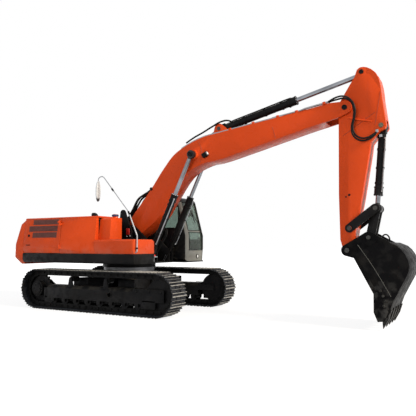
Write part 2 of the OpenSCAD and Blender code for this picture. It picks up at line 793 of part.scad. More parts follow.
// Front panes as shares of the cab's width and height: lower edge and upper edge
front_pane_shares = [[0.17, 0.45], [0.48, 0.93]];
rear_pane_shares = [0.42, 0.88];
ceiling_shares = [0.10, 0.78];
pane_margin_share = 0.11;
pane_t = 8;
module front_pane(z0, z1) {
    run_x(cab_rear + cab_l / 2, cab_front + over)
        translate([cab_y + pane_margin_share * cab_w, cab_z + z0 * cab_h])
            square([(1 - 2 * pane_margin_share) * cab_w, (z1 - z0) * cab_h]);
}
module rear_pane() {
    run_x(cab_rear - over, cab_rear + 2 * cab_t)
        translate([cab_y + pane_margin_share * cab_w, cab_z + rear_pane_shares[0] * cab_h])
            square([(1 - 2 * pane_margin_share) * cab_w,
                (rear_pane_shares[1] - rear_pane_shares[0]) * cab_h]);
}
module cab_frame() {
    color(black) door_pins();
    color(black) difference() {
        cab_slice(floor_top, roof_z);
        cab_solid(cab_t);
        block([cab_rear + cab_t, cab_y + cab_t, floor_top - over],
            [cab_front - 2 * cab_t, cab_y1 - cab_t, floor_top + cab_t]);
        block([cab_rear + ceiling_shares[0] * cab_l, cab_y + 2 * cab_t, roof_z - 2 * cab_t],
            [cab_rear + ceiling_shares[1] * cab_l, cab_y1 - 2 * cab_t, roof_z + over]);
        slab(cab_y - over, cab_y + 2 * cab_t) polygon(cab_points(side_window_shares));
        slab(cab_y - over, cab_y1 + over) polygon(cab_points(rear_side_shares));
        slab(cab_y1 - 2 * cab_t, cab_y1 + over) polygon(cab_points(door_shares));
        for (p = front_pane_shares) front_pane(p[0], p[1]);
        rear_pane();
    }
}
module cab_floor() {
    color(black) cab_slice(cab_z, floor_top);
}
module cab_roof() {
    color(black) difference() {
        cab_slice(roof_z, cab_top);
        block([cab_rear + roof_hollow_shares[0] * cab_l, cab_y + 2 * cab_t, roof_z - over],
            [cab_rear + roof_hollow_shares[1] * cab_l, cab_y1 - 2 * cab_t, (roof_z + cab_top) / 2]);
    }
}
module cab_glass() {
    mid = cab_t / 2;
    color(glass) {
        slab(cab_y + mid, cab_y + mid + pane_t) polygon(cab_points(side_window_shares));
        for (y = [cab_y + mid, cab_y1 - mid - pane_t])
            slab(y, y + pane_t) polygon(cab_points(rear_side_shares));
        for (p = front_pane_shares)
            intersection() {
                slab(cab_y, cab_y1) difference() {
                    offset(delta = -mid) cab_outline();
                    offset(delta = -mid - pane_t) cab_outline();
                }
                front_pane(p[0], p[1]);
            }
        intersection() {
            block([cab_rear + mid, cab_y, cab_z], [cab_rear + mid + pane_t, cab_y1, cab_top]);
            rear_pane();
        }
    }
}

// Seat and consoles, standing on the cab's floor
seat_w = 500;
seat_x_share = 0.40;
seat_h = 430;
seat_t = 130;
seat_back_h = 620;
module seat() {
    x = cab_rear + seat_x_share * cab_l;
    y = (cab_y + cab_y1) / 2;
    color(black) translate([x, y, floor_top]) {
        translate([-seat_w / 4, -seat_w / 3, 0]) cube([seat_w / 2, seat_w * 2 / 3, seat_h - seat_t]);
        wide(seat_w) polygon([[-seat_w / 2, seat_h - seat_t], [seat_w / 2, seat_h - seat_t],
            [seat_w / 2, seat_h], [-seat_w / 4, seat_h], [-seat_w / 2, seat_h + seat_back_h],
            [-seat_w / 2 - seat_t, seat_h + seat_back_h], [-seat_w / 2 - seat_t / 2, seat_h - seat_t]]);
    }
}
console_w = 130;
console_h = 520;
console_l = 420;
lever_r = 14;
lever_h = 230;
module consoles() {
    x = cab_rear + seat_x_share * cab_l;
    y = (cab_y + cab_y1) / 2;
    side = (seat_w + console_w) / 2 + part_gap;
    color(black) for (s = [-side, side]) translate([x, y + s, floor_top]) {
        translate([-console_l / 2, -console_w / 2, 0]) cube([console_l, console_w, console_h]);
        translate([console_l / 3, 0, console_h - over]) cylinder(r = lever_r, h = lever_h);
    }
}

// Cab door on the left, hinged at its rear edge
door_gap = 6;
door_hinge_r = 14;
door_hinge_h = 90;
door_edge_x = cab_rear + door_shares[0][0] * cab_l;
door_hinge_x = door_edge_x - door_hinge_r;
door_hinge_y = cab_y1 + 2 * door_hinge_r + part_gap;
door_hinge_shares = [0.16, 0.70];
module door_pins() {
    for (s = door_hinge_shares) translate([0, 0, cab_z + s * cab_h]) {
        translate([door_hinge_x, door_hinge_y, 0]) cylinder(r = door_hinge_r, h = 2 * door_hinge_h);
        block([door_hinge_x - door_hinge_r, cab_y1 - cab_t / 2, 0],
            [door_hinge_x + door_hinge_r, door_hinge_y, door_hinge_h]);
    }
}
module door_outline() {
    offset(delta = -door_gap) polygon(cab_points(door_shares));
}
module cab_door() {
    color(black) {
        slab(cab_y1 - cab_t, cab_y1) difference() {
            door_outline();
            polygon(cab_points(door_window_shares));
        }
        for (s = door_hinge_shares) translate([0, 0, cab_z + s * cab_h + door_hinge_h + gap]) difference() {
            union() {
                translate([door_hinge_x, door_hinge_y, 0]) cylinder(r = 2 * door_hinge_r, h = door_hinge_h);
                block([door_hinge_x, door_hinge_y, 0],
                    [door_edge_x + 3 * door_hinge_r, door_hinge_y + door_hinge_r, door_hinge_h]);
                block([door_edge_x + 2 * door_hinge_r, cab_y1 - pane_t, 0],
                    [door_edge_x + 3 * door_hinge_r, door_hinge_y + door_hinge_r, door_hinge_h]);
            }
            translate([door_hinge_x, door_hinge_y, -over])
                cylinder(r = door_hinge_r + run_fit, h = door_hinge_h + 2 * over);
        }
    }
}
module door_glass() {
    color(glass) slab(cab_y1 - cab_t / 2, cab_y1 - cab_t / 2 + pane_t)
        polygon(cab_points(door_window_shares));
}

// Engine hood, hinged at its front edge on the middle cover
hood_round = 60;
module engine_hood() {
    w = hood_w - 2 * part_gap;
    color(orange) {
        difference() {
            run_x(hood_x0, hood_x1) polygon([[-w / 2, house_top - panel_t], [w / 2, house_top - panel_t],
                [w / 2, house_top + hood_h - hood_round], [w / 2 - hood_round, house_top + hood_h],
                [hood_round - w / 2, house_top + hood_h], [-w / 2, house_top + hood_h - hood_round]]);
            block([hood_x0 + panel_t, -w / 2 + panel_t, house_top - 2 * panel_t],
                [hood_x1 - panel_t, w / 2 - panel_t, house_top + hood_h - panel_t]);
        }
        both_sides() slab(hood_knuckle_y - hood_knuckle_w / 2, hood_knuckle_y + hood_knuckle_w / 2)
            difference() {
                hull() {
                    translate(hood_hinge) circle(2 * hood_pin_r);
                    translate([hood_x1 - over, hood_hinge[1] - hood_pin_r]) square([over, 3 * hood_pin_r]);
                }
                translate(hood_hinge) circle(hood_pin_r + run_fit);
            }
    }
}

// Engine doors, hinged at their front edges, with three rows of upright louvre slots.
// A row runs between two shares of the door's length and two shares of its height.
louvre_shares = [[0.245, 0.923, 0.840, 0.979], [0.140, 0.902, 0.638, 0.798], [0.252, 0.895, 0.457, 0.606]];
louvre_pitch = 62;
louvre_w = 34;
louvre_deep = 24;
module louvres(row) {
    l = tail_x - door_x;
    z0 = hinge_z(row[2]);
    n = floor((row[1] - row[0]) * l / louvre_pitch);
    for (i = [0 : n - 1])
        translate([row[0] * l - tail_x + i * louvre_pitch, side_y(z0), z0]) rotate([panel_lean, 0, 0])
            translate([0, -louvre_deep, 0]) cube([louvre_w, 2 * louvre_deep, hinge_z(row[3]) - z0]);
}
module side_door() {
    x0 = -tail_x + part_gap;
    x1 = -door_x - part_gap;
    difference() {
        run_x(x0, x1) side_section(sill_z + part_gap, shoulder_z - part_gap);
        for (row = louvre_shares) louvres(row);
    }
    for (s = hinge_shares) {
        z = hinge_z(s) + hinge_h + gap;
        difference() {
            union() {
                translate([hinge_x, hinge_y, z]) cylinder(r = 2 * hinge_r, h = hinge_h);
                block([x1 - hinge_arm, side_y(z) - panel_t, z], [hinge_x, hinge_y + hinge_r, z + hinge_h]);
            }
            translate([hinge_x, hinge_y, z - over])
                cylinder(r = hinge_r + run_fit, h = hinge_h + 2 * over);
            block([x1, 0, z - over], [hinge_x + hinge_arm, wall_y - hinge_out, z + hinge_h + over]);
        }
    }
}
module pump_door() {
    color(orange) mirror([0, 1, 0]) side_door();
}
module cooler_door() {
    color(orange) side_door();
}

// Exhaust stack on the hood's right
exhaust_r = 60;
exhaust_bore_share = 0.85;
exhaust_h = 175;
exhaust_x = -880;
exhaust_y = -420;
module exhaust() {
    color(black) translate([exhaust_x, exhaust_y, house_top]) difference() {
        cylinder(r = exhaust_r, h = exhaust_h);
        translate([0, 0, exhaust_r]) cylinder(r = exhaust_bore_share * exhaust_r, h = exhaust_h);
    }
}

// Handrail on the tool box's nose, and the mirror's stay on its upper end
rail_tube_r = 17;
tube_sides = 10;
rail_off = 45;
rail_y = nose_round - wall_y;
rail_low_z = 1540;
rail_bend_z = 1950;
rail_top = [1103, 2540];
stay_r = 12;
stay_line = [[278, 3460], [225, 3492], [150, 3485], [100, 3450], [85, 3405], [85, 3375]];
mirror_w = 160;
mirror_h = 530;
mirror_t = 30;
function at_rail(q) = [for (v = q) [v[0], rail_y, v[1]]];
module handrails() {
    color(grey) {
        tube(at_rail([[nose_x, rail_low_z], [nose_x + rail_off / 2, rail_low_z],
            [nose_x + rail_off, rail_low_z + rail_off / 2], [nose_x + rail_off, rail_bend_z], rail_top]),
            rail_tube_r, tube_sides);
        tube(at_rail(concat([rail_top], stay_line)), stay_r, tube_sides);
    }
}
module mirrors() {
    end = stay_line[len(stay_line) - 1];
    color(black) run_x(end[0] - mirror_t / 2, end[0] + mirror_t / 2)
        translate([rail_y, end[1] - mirror_h / 2]) scale([mirror_w / mirror_h, 1]) circle(mirror_h / 2);
}

// Boom

// The boom's outline as shares of its length: along the pin line and above it
boom_top_shares = [[0.000, 0.0370], [0.0206, 0.0590], [0.1505, 0.1180], [0.2500, 0.1700],
    [0.3349, 0.2015], [0.4491, 0.1990], [0.5617, 0.1672], [0.8597, 0.0723], [0.960, 0.043]];
boom_low_shares = [[0.960, -0.020], [0.8295, 0.0096], [0.5182, 0.0716], [0.4244, 0.0985],
    [0.3298, 0.0960], [0.2131, 0.0354], [0.1467, -0.0022], [0.060, -0.022], [0.000, -0.0300]];
boom_fork = 520;
boom_nose_r = 150;
boom_foot_r = 175;
boom_steps = 4;
cavity_from_share = 0.06;
boom_boss_r = 130;
ear_w = 40;
stick_base_w = 2 * stick_cyl_r + over;
ear_in_y = stick_base_w / 2 + part_gap;
ear_base_shares = [[0.500, 0.165], [0.570, 0.155]];
boss_h = boom_cyl_y - cyl_eye_w / 2 - part_gap - boom_w / 2;
module boom_outline() {
    polygon(boom_len * concat(smooth(boom_top_shares, boom_steps), smooth(boom_low_shares, boom_steps)));
    circle(boom_foot_r);
    translate([boom_len, 0]) circle(boom_nose_r);
    polygon(boom_len * [boom_top_shares[8], [1, boom_nose_r / boom_len],
        [1, -boom_nose_r / boom_len], boom_low_shares[0]]);
}
module boom_cavity() {
    polygon(concat(
        [for (p = smooth(boom_top_shares, boom_steps)) if (p[0] > cavity_from_share)
            p * boom_len - [0, boom_plate]],
        [for (p = smooth(boom_low_shares, boom_steps)) if (p[0] > cavity_from_share)
            p * boom_len + [0, boom_plate]]));
}
fork_t = boom_w / 2 - stick_w / 2 - part_gap;
module boom() {
    color(orange) at_boom() difference() {
        union() {
            wide(boom_w) boom_outline();
            both_sides() slab(ear_in_y, ear_in_y + ear_w) hull() {
                translate(boom_len * stick_base_shares) circle(boom_boss_r);
                for (q = ear_base_shares) translate(boom_len * q) circle(boom_boss_r / 2);
            }
            at_xz(boom_len * stick_base_shares) ycyl(pin_r, -ear_in_y - ear_w, ear_in_y + ear_w);
            at_xz(boom_len * rod_pin_shares) ycyl(boom_boss_r, -boom_w / 2 - boss_h, boom_w / 2 + boss_h);
        }
        wide(boom_w - 2 * boom_plate) boom_cavity();
        wide(boom_w - 2 * fork_t) {
            translate([boom_len - boom_fork, -boom_len / 2]) square([boom_len, boom_len]);
        }
        ycyl(pin_r + run_fit, -boom_w, boom_w);
    }
    color(black) at_boom() at_xz([boom_len, 0])
        ycyl(pin_r, -boom_w / 2, boom_w / 2);
}

lamp_w = 150;
lamp_h = 120;
lamp_t = 90;
lamp_shares = [0.452, 0.123];
module boom_lamp() {
    color(black) at_boom() translate([boom_len * lamp_shares[0], 0, boom_len * lamp_shares[1]])
        block([-lamp_w / 2, -boom_w / 2 - lamp_t, -lamp_h / 2], [lamp_w / 2, -boom_w / 2, lamp_h / 2]);
}

pipe_r = 18;
pipe_y = ear_in_y + ear_w + 2 * pipe_r - over;
pipe_count = 2;
pipe_from_share = 0.36;
pipe_to_share = 0.80;
module boom_pipes() {
    line = [for (p = smooth(boom_top_shares, boom_steps))
        if (p[0] > pipe_from_share && p[0] < pipe_to_share) p * boom_len + [0, pipe_r + gap]];
    color(black) at_boom() both_sides() for (k = [0 : pipe_count - 1])
        tube([for (q = line) [q[0], pipe_y + 3 * pipe_r * k, q[1]]], pipe_r, tube_sides);
}

// Cylinders. A barrel runs along X from its base pin; a rod's eye is at the far end.
cap_t = 30;
gland_share = 1.12;
neck_share = 0.8;
module barrel(l, r, rod_r, eye_r, eye_w, bottom) {
    difference() {
        union() {
            ycyl(eye_r, -eye_w / 2, eye_w / 2);
            translate([bottom - cap_t, 0, 0]) rotate([0, 90, 0]) cylinder(r = r, h = l - bottom + cap_t);
            translate([l - 2 * r, 0, 0]) rotate([0, 90, 0]) cylinder(r = gland_share * r, h = 2 * r);
            translate([0, -eye_w / 2, -neck_share * eye_r]) cube([bottom, eye_w, 2 * neck_share * eye_r]);
        }
        ycyl(pin_r + run_fit, -eye_w, eye_w);
        translate([bottom, 0, 0]) rotate([0, 90, 0]) cylinder(r = rod_r + run_fit, h = l);
    }
}
module rod(at, l, r, eye_r, eye_w) {
    translate([at - l, 0, 0]) rotate([0, 90, 0]) cylinder(r = r, h = l - eye_r / 2);
    translate([at, 0, 0]) ycyl(eye_r, -eye_w / 2, eye_w / 2);
}
function span(a, b) = norm(b - a);

boom_barrel_l = 1640;
boom_rod_l = 1655;
boom_eye_r = 105;
boom_bottom = 155;
module boom_barrels() {
    color(black) at_line(cyl_foot, rod_pin) both_sides() translate([0, boom_cyl_y, 0])
        barrel(boom_barrel_l, boom_cyl_r, boom_rod_r, boom_eye_r, cyl_eye_w, boom_bottom);
}
rod_cap_h = 30;
module boom_rods() {
    color(chrome) at_line(cyl_foot, rod_pin) both_sides() translate([0, boom_cyl_y, 0]) {
        rod(span(cyl_foot, rod_pin), boom_rod_l, boom_rod_r, boom_eye_r, cyl_eye_w);
        translate([span(cyl_foot, rod_pin), 0, 0]) ycyl(pin_r, 0, cyl_eye_w / 2 + rod_cap_h);
    }
}

stick_barrel_l = 2100;
stick_rod_l = 2150;
stick_eye_r = 120;
stick_eye_w = 140;
stick_bottom = 170;
module stick_barrel() {
    color(black) at_line(stick_base, stick_tail)
        barrel(stick_barrel_l, stick_cyl_r, stick_rod_r, stick_eye_r, stick_base_w, stick_bottom);
}
module stick_rod() {
    color(chrome) at_line(stick_base, stick_tail)
        rod(span(stick_base, stick_tail), stick_rod_l, stick_rod_r, stick_eye_r, stick_eye_w);
}

bucket_eye_r = 105;
bucket_bottom = 145;
bucket_rod_out = 287;
bucket_rod_free = 97;
bucket_barrel_l = span(bucket_base, link_eye) - bucket_rod_out;
bucket_rod_l = span(bucket_base, link_eye) - bucket_bottom - bucket_rod_free;
bucket_base_w = 2 * bucket_cyl_r + over;
module bucket_barrel() {
    color(black) at_line(bucket_base, link_eye)
        barrel(bucket_barrel_l, bucket_cyl_r, bucket_rod_r, bucket_eye_r, bucket_base_w, bucket_bottom);
}
module bucket_rod() {
    color(chrome) at_line(bucket_base, link_eye)
        rod(span(bucket_base, link_eye), bucket_rod_l, bucket_rod_r, bucket_eye_r, stick_eye_w);
}

// Stick

// The stick's outline as shares of its length: along the pin line and in front of it
stick_shares = [[-0.262, 0.088], [-0.212, 0.172], [-0.092, 0.244], [0.05, 0.262], [0.160, 0.275],
    [0.205, 0.215], [0.262, 0.168], [0.330, 0.158], [0.655, 0.098], [0.800, 0.066], [0.985, 0.034],
    [0.985, -0.036], [0.925, -0.052], [0.610, -0.056], [0.114, -0.048], [-0.040, -0.040],
    [-0.139, 0.022], [-0.212, 0.070]];
tail_r_out = 105;
stick_nose_r = 115;
tail_slot = 900;
tail_slot_share = 0.78;
base_slot_r = 130;
base_slot_share = 3;
module stick_outline() {
    polygon(stick_len * stick_shares);
    translate(stick_len * tail_shares) circle(tail_r_out);
    translate(stick_len * bucket_base_shares) circle(tail_r_out);
    translate([stick_len, 0]) circle(stick_nose_r);
    circle(boom_nose_r);
}
rocker_t = 40;
rocker_y = stick_w / 2 + part_gap;
module stick() {
    color(orange) at_stick() difference() {
        union() {
            wide(stick_w) stick_outline();
            at_xz(stick_len * rocker_shares) ycyl(pin_r, -rocker_y - rocker_t, rocker_y + rocker_t);
        }
        wide(stick_w - 2 * boom_plate) difference() {
            offset(delta = -boom_plate) polygon(stick_len * stick_shares);
            circle(boom_nose_r);
            translate(stick_len * rocker_shares) circle(stick_nose_r);
            translate(stick_len * bucket_base_shares) circle(tail_r_out);
            translate([stick_len, 0]) circle(2 * stick_nose_r);
        }
        wide(stick_eye_w + 2 * part_gap)
            translate(stick_len * tail_shares - [tail_slot / 2, tail_slot / 2])
                square([tail_slot * tail_slot_share, tail_slot]);
        wide(bucket_base_w + 2 * part_gap)
            translate(stick_len * bucket_base_shares - [base_slot_r, base_slot_r])
                square([base_slot_share * base_slot_r, 2 * base_slot_r]);
        ycyl(pin_r + run_fit, -stick_w, stick_w);
        at_xz([stick_len, 0]) ycyl(pin_r + run_fit, -stick_w, stick_w);
    }
    color(black) at_stick() at_xz(stick_len * bucket_base_shares)
        ycyl(pin_r, -stick_w / 2, stick_w / 2);
}

// A pipe on each side of the stick, up to the bucket cylinder's base
stick_pipe_shares = [[0.075, 0.02], [0.10, 0.10], [0.12, 0.18]];
module stick_pipes() {
    y = stick_w / 2 + pipe_r + gap;
    color(black) at_stick() both_sides()
        tube([for (q = stick_pipe_shares) [q[0] * stick_len, y, q[1] * stick_len]], pipe_r, tube_sides);
}

// Bucket linkage: two rockers outside, the link inside them, the rod's eye in the middle
link_r = 95;
link_t = 60;
link_in_y = stick_eye_w / 2 + part_gap;
link_out_y = link_in_y + link_t;
boss_share = 0.85;
module plate_link(a, b, r) {
    n = r * [a[1] - b[1], b[0] - a[0]] / norm(b - a);
    translate(a) circle(r);
    translate(b) circle(r);
    polygon([a + n, b + n, b - n, a - n]);
}
module rockers() {
    color(black) both_sides() difference() {
        union() {
            slab(rocker_y, rocker_y + rocker_t) plate_link(rocker_pin, link_eye, link_r);
            at_xz(link_eye) ycyl(boss_share * link_r, link_out_y + part_gap, rocker_y + over);
        }
        at_xz(rocker_pin) ycyl(pin_r + run_fit, rocker_y - over, rocker_y + rocker_t + over);
    }
}
bucket_ear_t = 50;
bucket_ear_y = rocker_y + rocker_t + part_gap;
module bucket_link() {
    mid = (link_eye + bucket_pin) / 2;
    color(black) difference() {
        union() {
            both_sides() slab(link_in_y, link_out_y) plate_link(link_eye, bucket_pin, link_r);
            at_xz(bucket_pin) ycyl(boss_share * link_r, -bucket_ear_y + part_gap, bucket_ear_y - part_gap);
            at_xz(mid) ycyl(link_r / 2, -link_in_y, link_in_y);
        }
        at_xz(bucket_pin) ycyl(pin_r + run_fit, -stick_w, stick_w);
    }
}

// Bucket: a wrapped sheet between two side plates, a lip with teeth and two ears

// The bucket's outline as shares of its tip radius: along the tip line and behind it
bucket_back_shares = [[0.905, 0.105], [0.770, 0.250], [0.587, 0.508], [0.535, 0.565], [0.480, 0.600],
    [0.420, 0.616], [0.355, 0.6175], [0.290, 0.607], [0.230, 0.585], [0.154, 0.521], [0.100, 0.400]];
bucket_edge_shares = [[0.100, 0.085], [0.600, 0.095], [0.790, 0.020], [0.870, 0.035]];
// The hollow runs out past the mouth between these corners
mouth_shares = [[0.100, -0.040], [1.040, -0.040]];
tooth_shares = [[0.845, 0.190], [0.835, 0.100], [0.905, 0.040], [1.0, 0], [0.925, 0.110]];
ear_foot_shares = [[0.200, 0.500], [0.170, 0.140]];
// Side cutters at the lip's ends, an edge strip along each side, and a lifting eye on the back
cutter_shares = [[0.600, 0.145], [0.600, 0.100], [0.790, 0.000], [0.905, -0.010], [0.930, 0.060],
    [0.850, 0.150]];
strip_shares = [[0.110, 0.085], [0.600, 0.095], [0.600, 0.135], [0.110, 0.130]];
cutter_t = 26;
strip_t = 14;
lift_eye_shares = [0.082, 0.432];
lift_foot_shares = [[0.165, 0.505], [0.140, 0.400]];
lift_eye_r = 52;
lift_hole_r = 24;
lift_t = 40;
ear_tab = 125;
tooth_w = 105;
module bucket_side() {
    polygon(bucket_r * concat(bucket_back_shares, bucket_edge_shares));
}
module bucket_hollow() {
    offset(delta = -bucket_t) polygon(bucket_r * concat(bucket_back_shares, mouth_shares));
}
module bucket() {
    color(black) at_bucket() difference() {
        union() {
            wide(bucket_w) bucket_side();
            both_sides() slab(bucket_ear_y, bucket_ear_y + bucket_ear_t) hull() {
                circle(ear_tab);
                translate(bucket_r * link_shares) circle(ear_tab);
                for (q = ear_foot_shares) translate(bucket_r * q) circle(ear_tab / 2);
            }
            ycyl(pin_r, -bucket_ear_y - over, bucket_ear_y + over);
            at_xz(bucket_r * link_shares) ycyl(pin_r, -bucket_ear_y - over, bucket_ear_y + over);
            both_sides() slab(bucket_w / 2 - over, bucket_w / 2 + cutter_t) polygon(bucket_r * cutter_shares);
            both_sides() slab(bucket_w / 2 - over, bucket_w / 2 + strip_t) polygon(bucket_r * strip_shares);
            wide(lift_t) difference() {
                hull() {
                    translate(bucket_r * lift_eye_shares) circle(lift_eye_r);
                    for (q = lift_foot_shares) translate(bucket_r * q) circle(bucket_t / 2);
                }
                translate(bucket_r * lift_eye_shares) circle(lift_hole_r);
            }
        }
        wide(bucket_w - 2 * bucket_t) bucket_hollow();
    }
}
module bucket_teeth() {
    inner_w = bucket_w - 2 * bucket_t - tooth_w;
    color(steel) at_bucket() for (i = [0 : tooth_count - 1])
        translate([0, inner_w * (i / (tooth_count - 1) - 0.5), 0]) wide(tooth_w) difference() {
            polygon(bucket_r * tooth_shares);
            difference() {
                bucket_side();
                bucket_hollow();
            }
        }
}

carbody();
track_frames();
right_track();
left_track();
sprockets();
idlers();
track_rollers();
carrier_rollers();
final_drives();
slew_ring();
tow_eyes();
turntable();
skirts();
counterweight();
engine();
right_panel();
left_panel();
right_deck();
left_deck();
center_cover();
fuel_tank();
tool_box();
cab_frame();
cab_floor();
cab_roof();
cab_glass();
seat();
consoles();
exhaust();
handrails();
mirrors();
cab_door();
door_glass();
engine_hood();
pump_door();
cooler_door();
boom();
boom_lamp();
boom_pipes();
boom_barrels();
boom_rods();
stick_barrel();
stick_rod();
stick();
stick_pipes();
bucket_barrel();
bucket_rod();
rockers();
bucket_link();
bucket();
bucket_teeth();
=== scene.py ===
"""Crawler excavator: finishes, trim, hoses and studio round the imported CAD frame."""
import json
import math

import bpy
from mathutils import Matrix, Vector
from mathutils.bvhtree import BVHTree
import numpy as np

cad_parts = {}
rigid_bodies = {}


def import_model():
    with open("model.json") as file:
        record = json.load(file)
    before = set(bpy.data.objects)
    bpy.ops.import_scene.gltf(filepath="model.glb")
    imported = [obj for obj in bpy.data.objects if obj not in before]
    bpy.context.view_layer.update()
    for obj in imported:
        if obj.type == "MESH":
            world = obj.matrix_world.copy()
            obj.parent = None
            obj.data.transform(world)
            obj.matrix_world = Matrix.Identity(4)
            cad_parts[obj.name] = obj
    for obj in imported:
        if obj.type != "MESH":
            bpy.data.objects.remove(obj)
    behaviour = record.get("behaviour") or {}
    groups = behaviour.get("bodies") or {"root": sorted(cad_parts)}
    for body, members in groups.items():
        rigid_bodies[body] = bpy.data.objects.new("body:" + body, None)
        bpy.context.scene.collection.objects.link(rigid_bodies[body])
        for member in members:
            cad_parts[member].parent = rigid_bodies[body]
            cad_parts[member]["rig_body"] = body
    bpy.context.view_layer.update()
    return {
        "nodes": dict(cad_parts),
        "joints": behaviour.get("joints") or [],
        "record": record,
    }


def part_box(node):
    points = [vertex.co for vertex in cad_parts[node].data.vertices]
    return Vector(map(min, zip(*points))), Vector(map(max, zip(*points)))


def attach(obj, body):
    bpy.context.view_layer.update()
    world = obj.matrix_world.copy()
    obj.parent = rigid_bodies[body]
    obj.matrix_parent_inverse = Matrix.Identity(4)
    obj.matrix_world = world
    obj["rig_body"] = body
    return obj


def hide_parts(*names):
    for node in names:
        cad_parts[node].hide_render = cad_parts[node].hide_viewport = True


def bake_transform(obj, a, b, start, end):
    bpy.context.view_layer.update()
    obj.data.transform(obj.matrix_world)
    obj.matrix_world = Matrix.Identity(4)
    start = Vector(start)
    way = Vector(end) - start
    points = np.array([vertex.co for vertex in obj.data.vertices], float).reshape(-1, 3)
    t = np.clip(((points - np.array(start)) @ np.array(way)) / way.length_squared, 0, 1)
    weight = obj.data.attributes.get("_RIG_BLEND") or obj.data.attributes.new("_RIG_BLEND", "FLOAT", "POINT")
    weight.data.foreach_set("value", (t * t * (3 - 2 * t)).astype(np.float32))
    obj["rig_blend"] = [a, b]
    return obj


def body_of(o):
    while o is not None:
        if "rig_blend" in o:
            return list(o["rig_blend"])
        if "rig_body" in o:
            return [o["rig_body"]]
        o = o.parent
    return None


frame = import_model()

bl_info = {
    "name": "Crawler Excavator Dressing",
    "version": (1, 0, 0),
    "blender": (4, 5, 0),
    "location": "View3D > Sidebar > Excavator",
    "description": "Finishes, trim and studio for a packed crawler excavator",
    "category": "Object",
}

X, Y, Z = Vector((1, 0, 0)), Vector((0, 1, 0)), Vector((0, 0, 1))
RIGHT, LEFT = -1, 1
SIDES = (RIGHT, LEFT)
# How squarely a face must look along a direction to be picked
FACING = 0.9


def colour_setting(name, description, default):
    """A colour in the panel."""
    return bpy.props.FloatVectorProperty(name=name, description=description, subtype="COLOR", size=3,
                                         min=0, max=1, default=default)


class PaintSettings(bpy.types.PropertyGroup):
    """Colours of the machine's finishes."""

    body: colour_setting("Body paint", "Orange paint of the house, boom and stick", (0.58, 0.060, 0.010))
    black: colour_setting("Black paint", "Paint of the undercarriage, skirts and cylinders",
                          (0.004, 0.004, 0.0045))
    cab: colour_setting("Cab paint", "Dark paint of the cab's frame and roof", (0.0045, 0.0045, 0.005))
    trim: colour_setting("Grey trim", "Grey paint round the cab's front window", (0.20, 0.205, 0.195))
    dust: colour_setting("Dust", "Dry dust on the tracks and lower parts", (0.30, 0.26, 0.20))
    glass: colour_setting("Glass tint", "Tint of the cab's windows", (0.40, 0.48, 0.44))


class StageSettings(bpy.types.PropertyGroup):
    """Camera and studio."""

    place: bpy.props.FloatVectorProperty(
        name="Camera place", description="Where the camera stands",
        subtype="TRANSLATION", unit="LENGTH", size=3, default=(9.04, -11.24, 1.70))
    yaw: bpy.props.FloatProperty(
        name="Camera yaw", description="Turn of the view to the left of the Y axis",
        subtype="ANGLE", default=math.radians(29.97))
    pitch: bpy.props.FloatProperty(
        name="Camera pitch", description="Tilt of the view above level",
        subtype="ANGLE", default=math.radians(4.31))
    lens: bpy.props.FloatProperty(
        name="Lens", description="Focal length on a 36 mm wide sensor, in millimetres", default=43.46)
    floor: colour_setting("Floor", "Colour of the studio floor", (0.50, 0.50, 0.50))


# Finishes


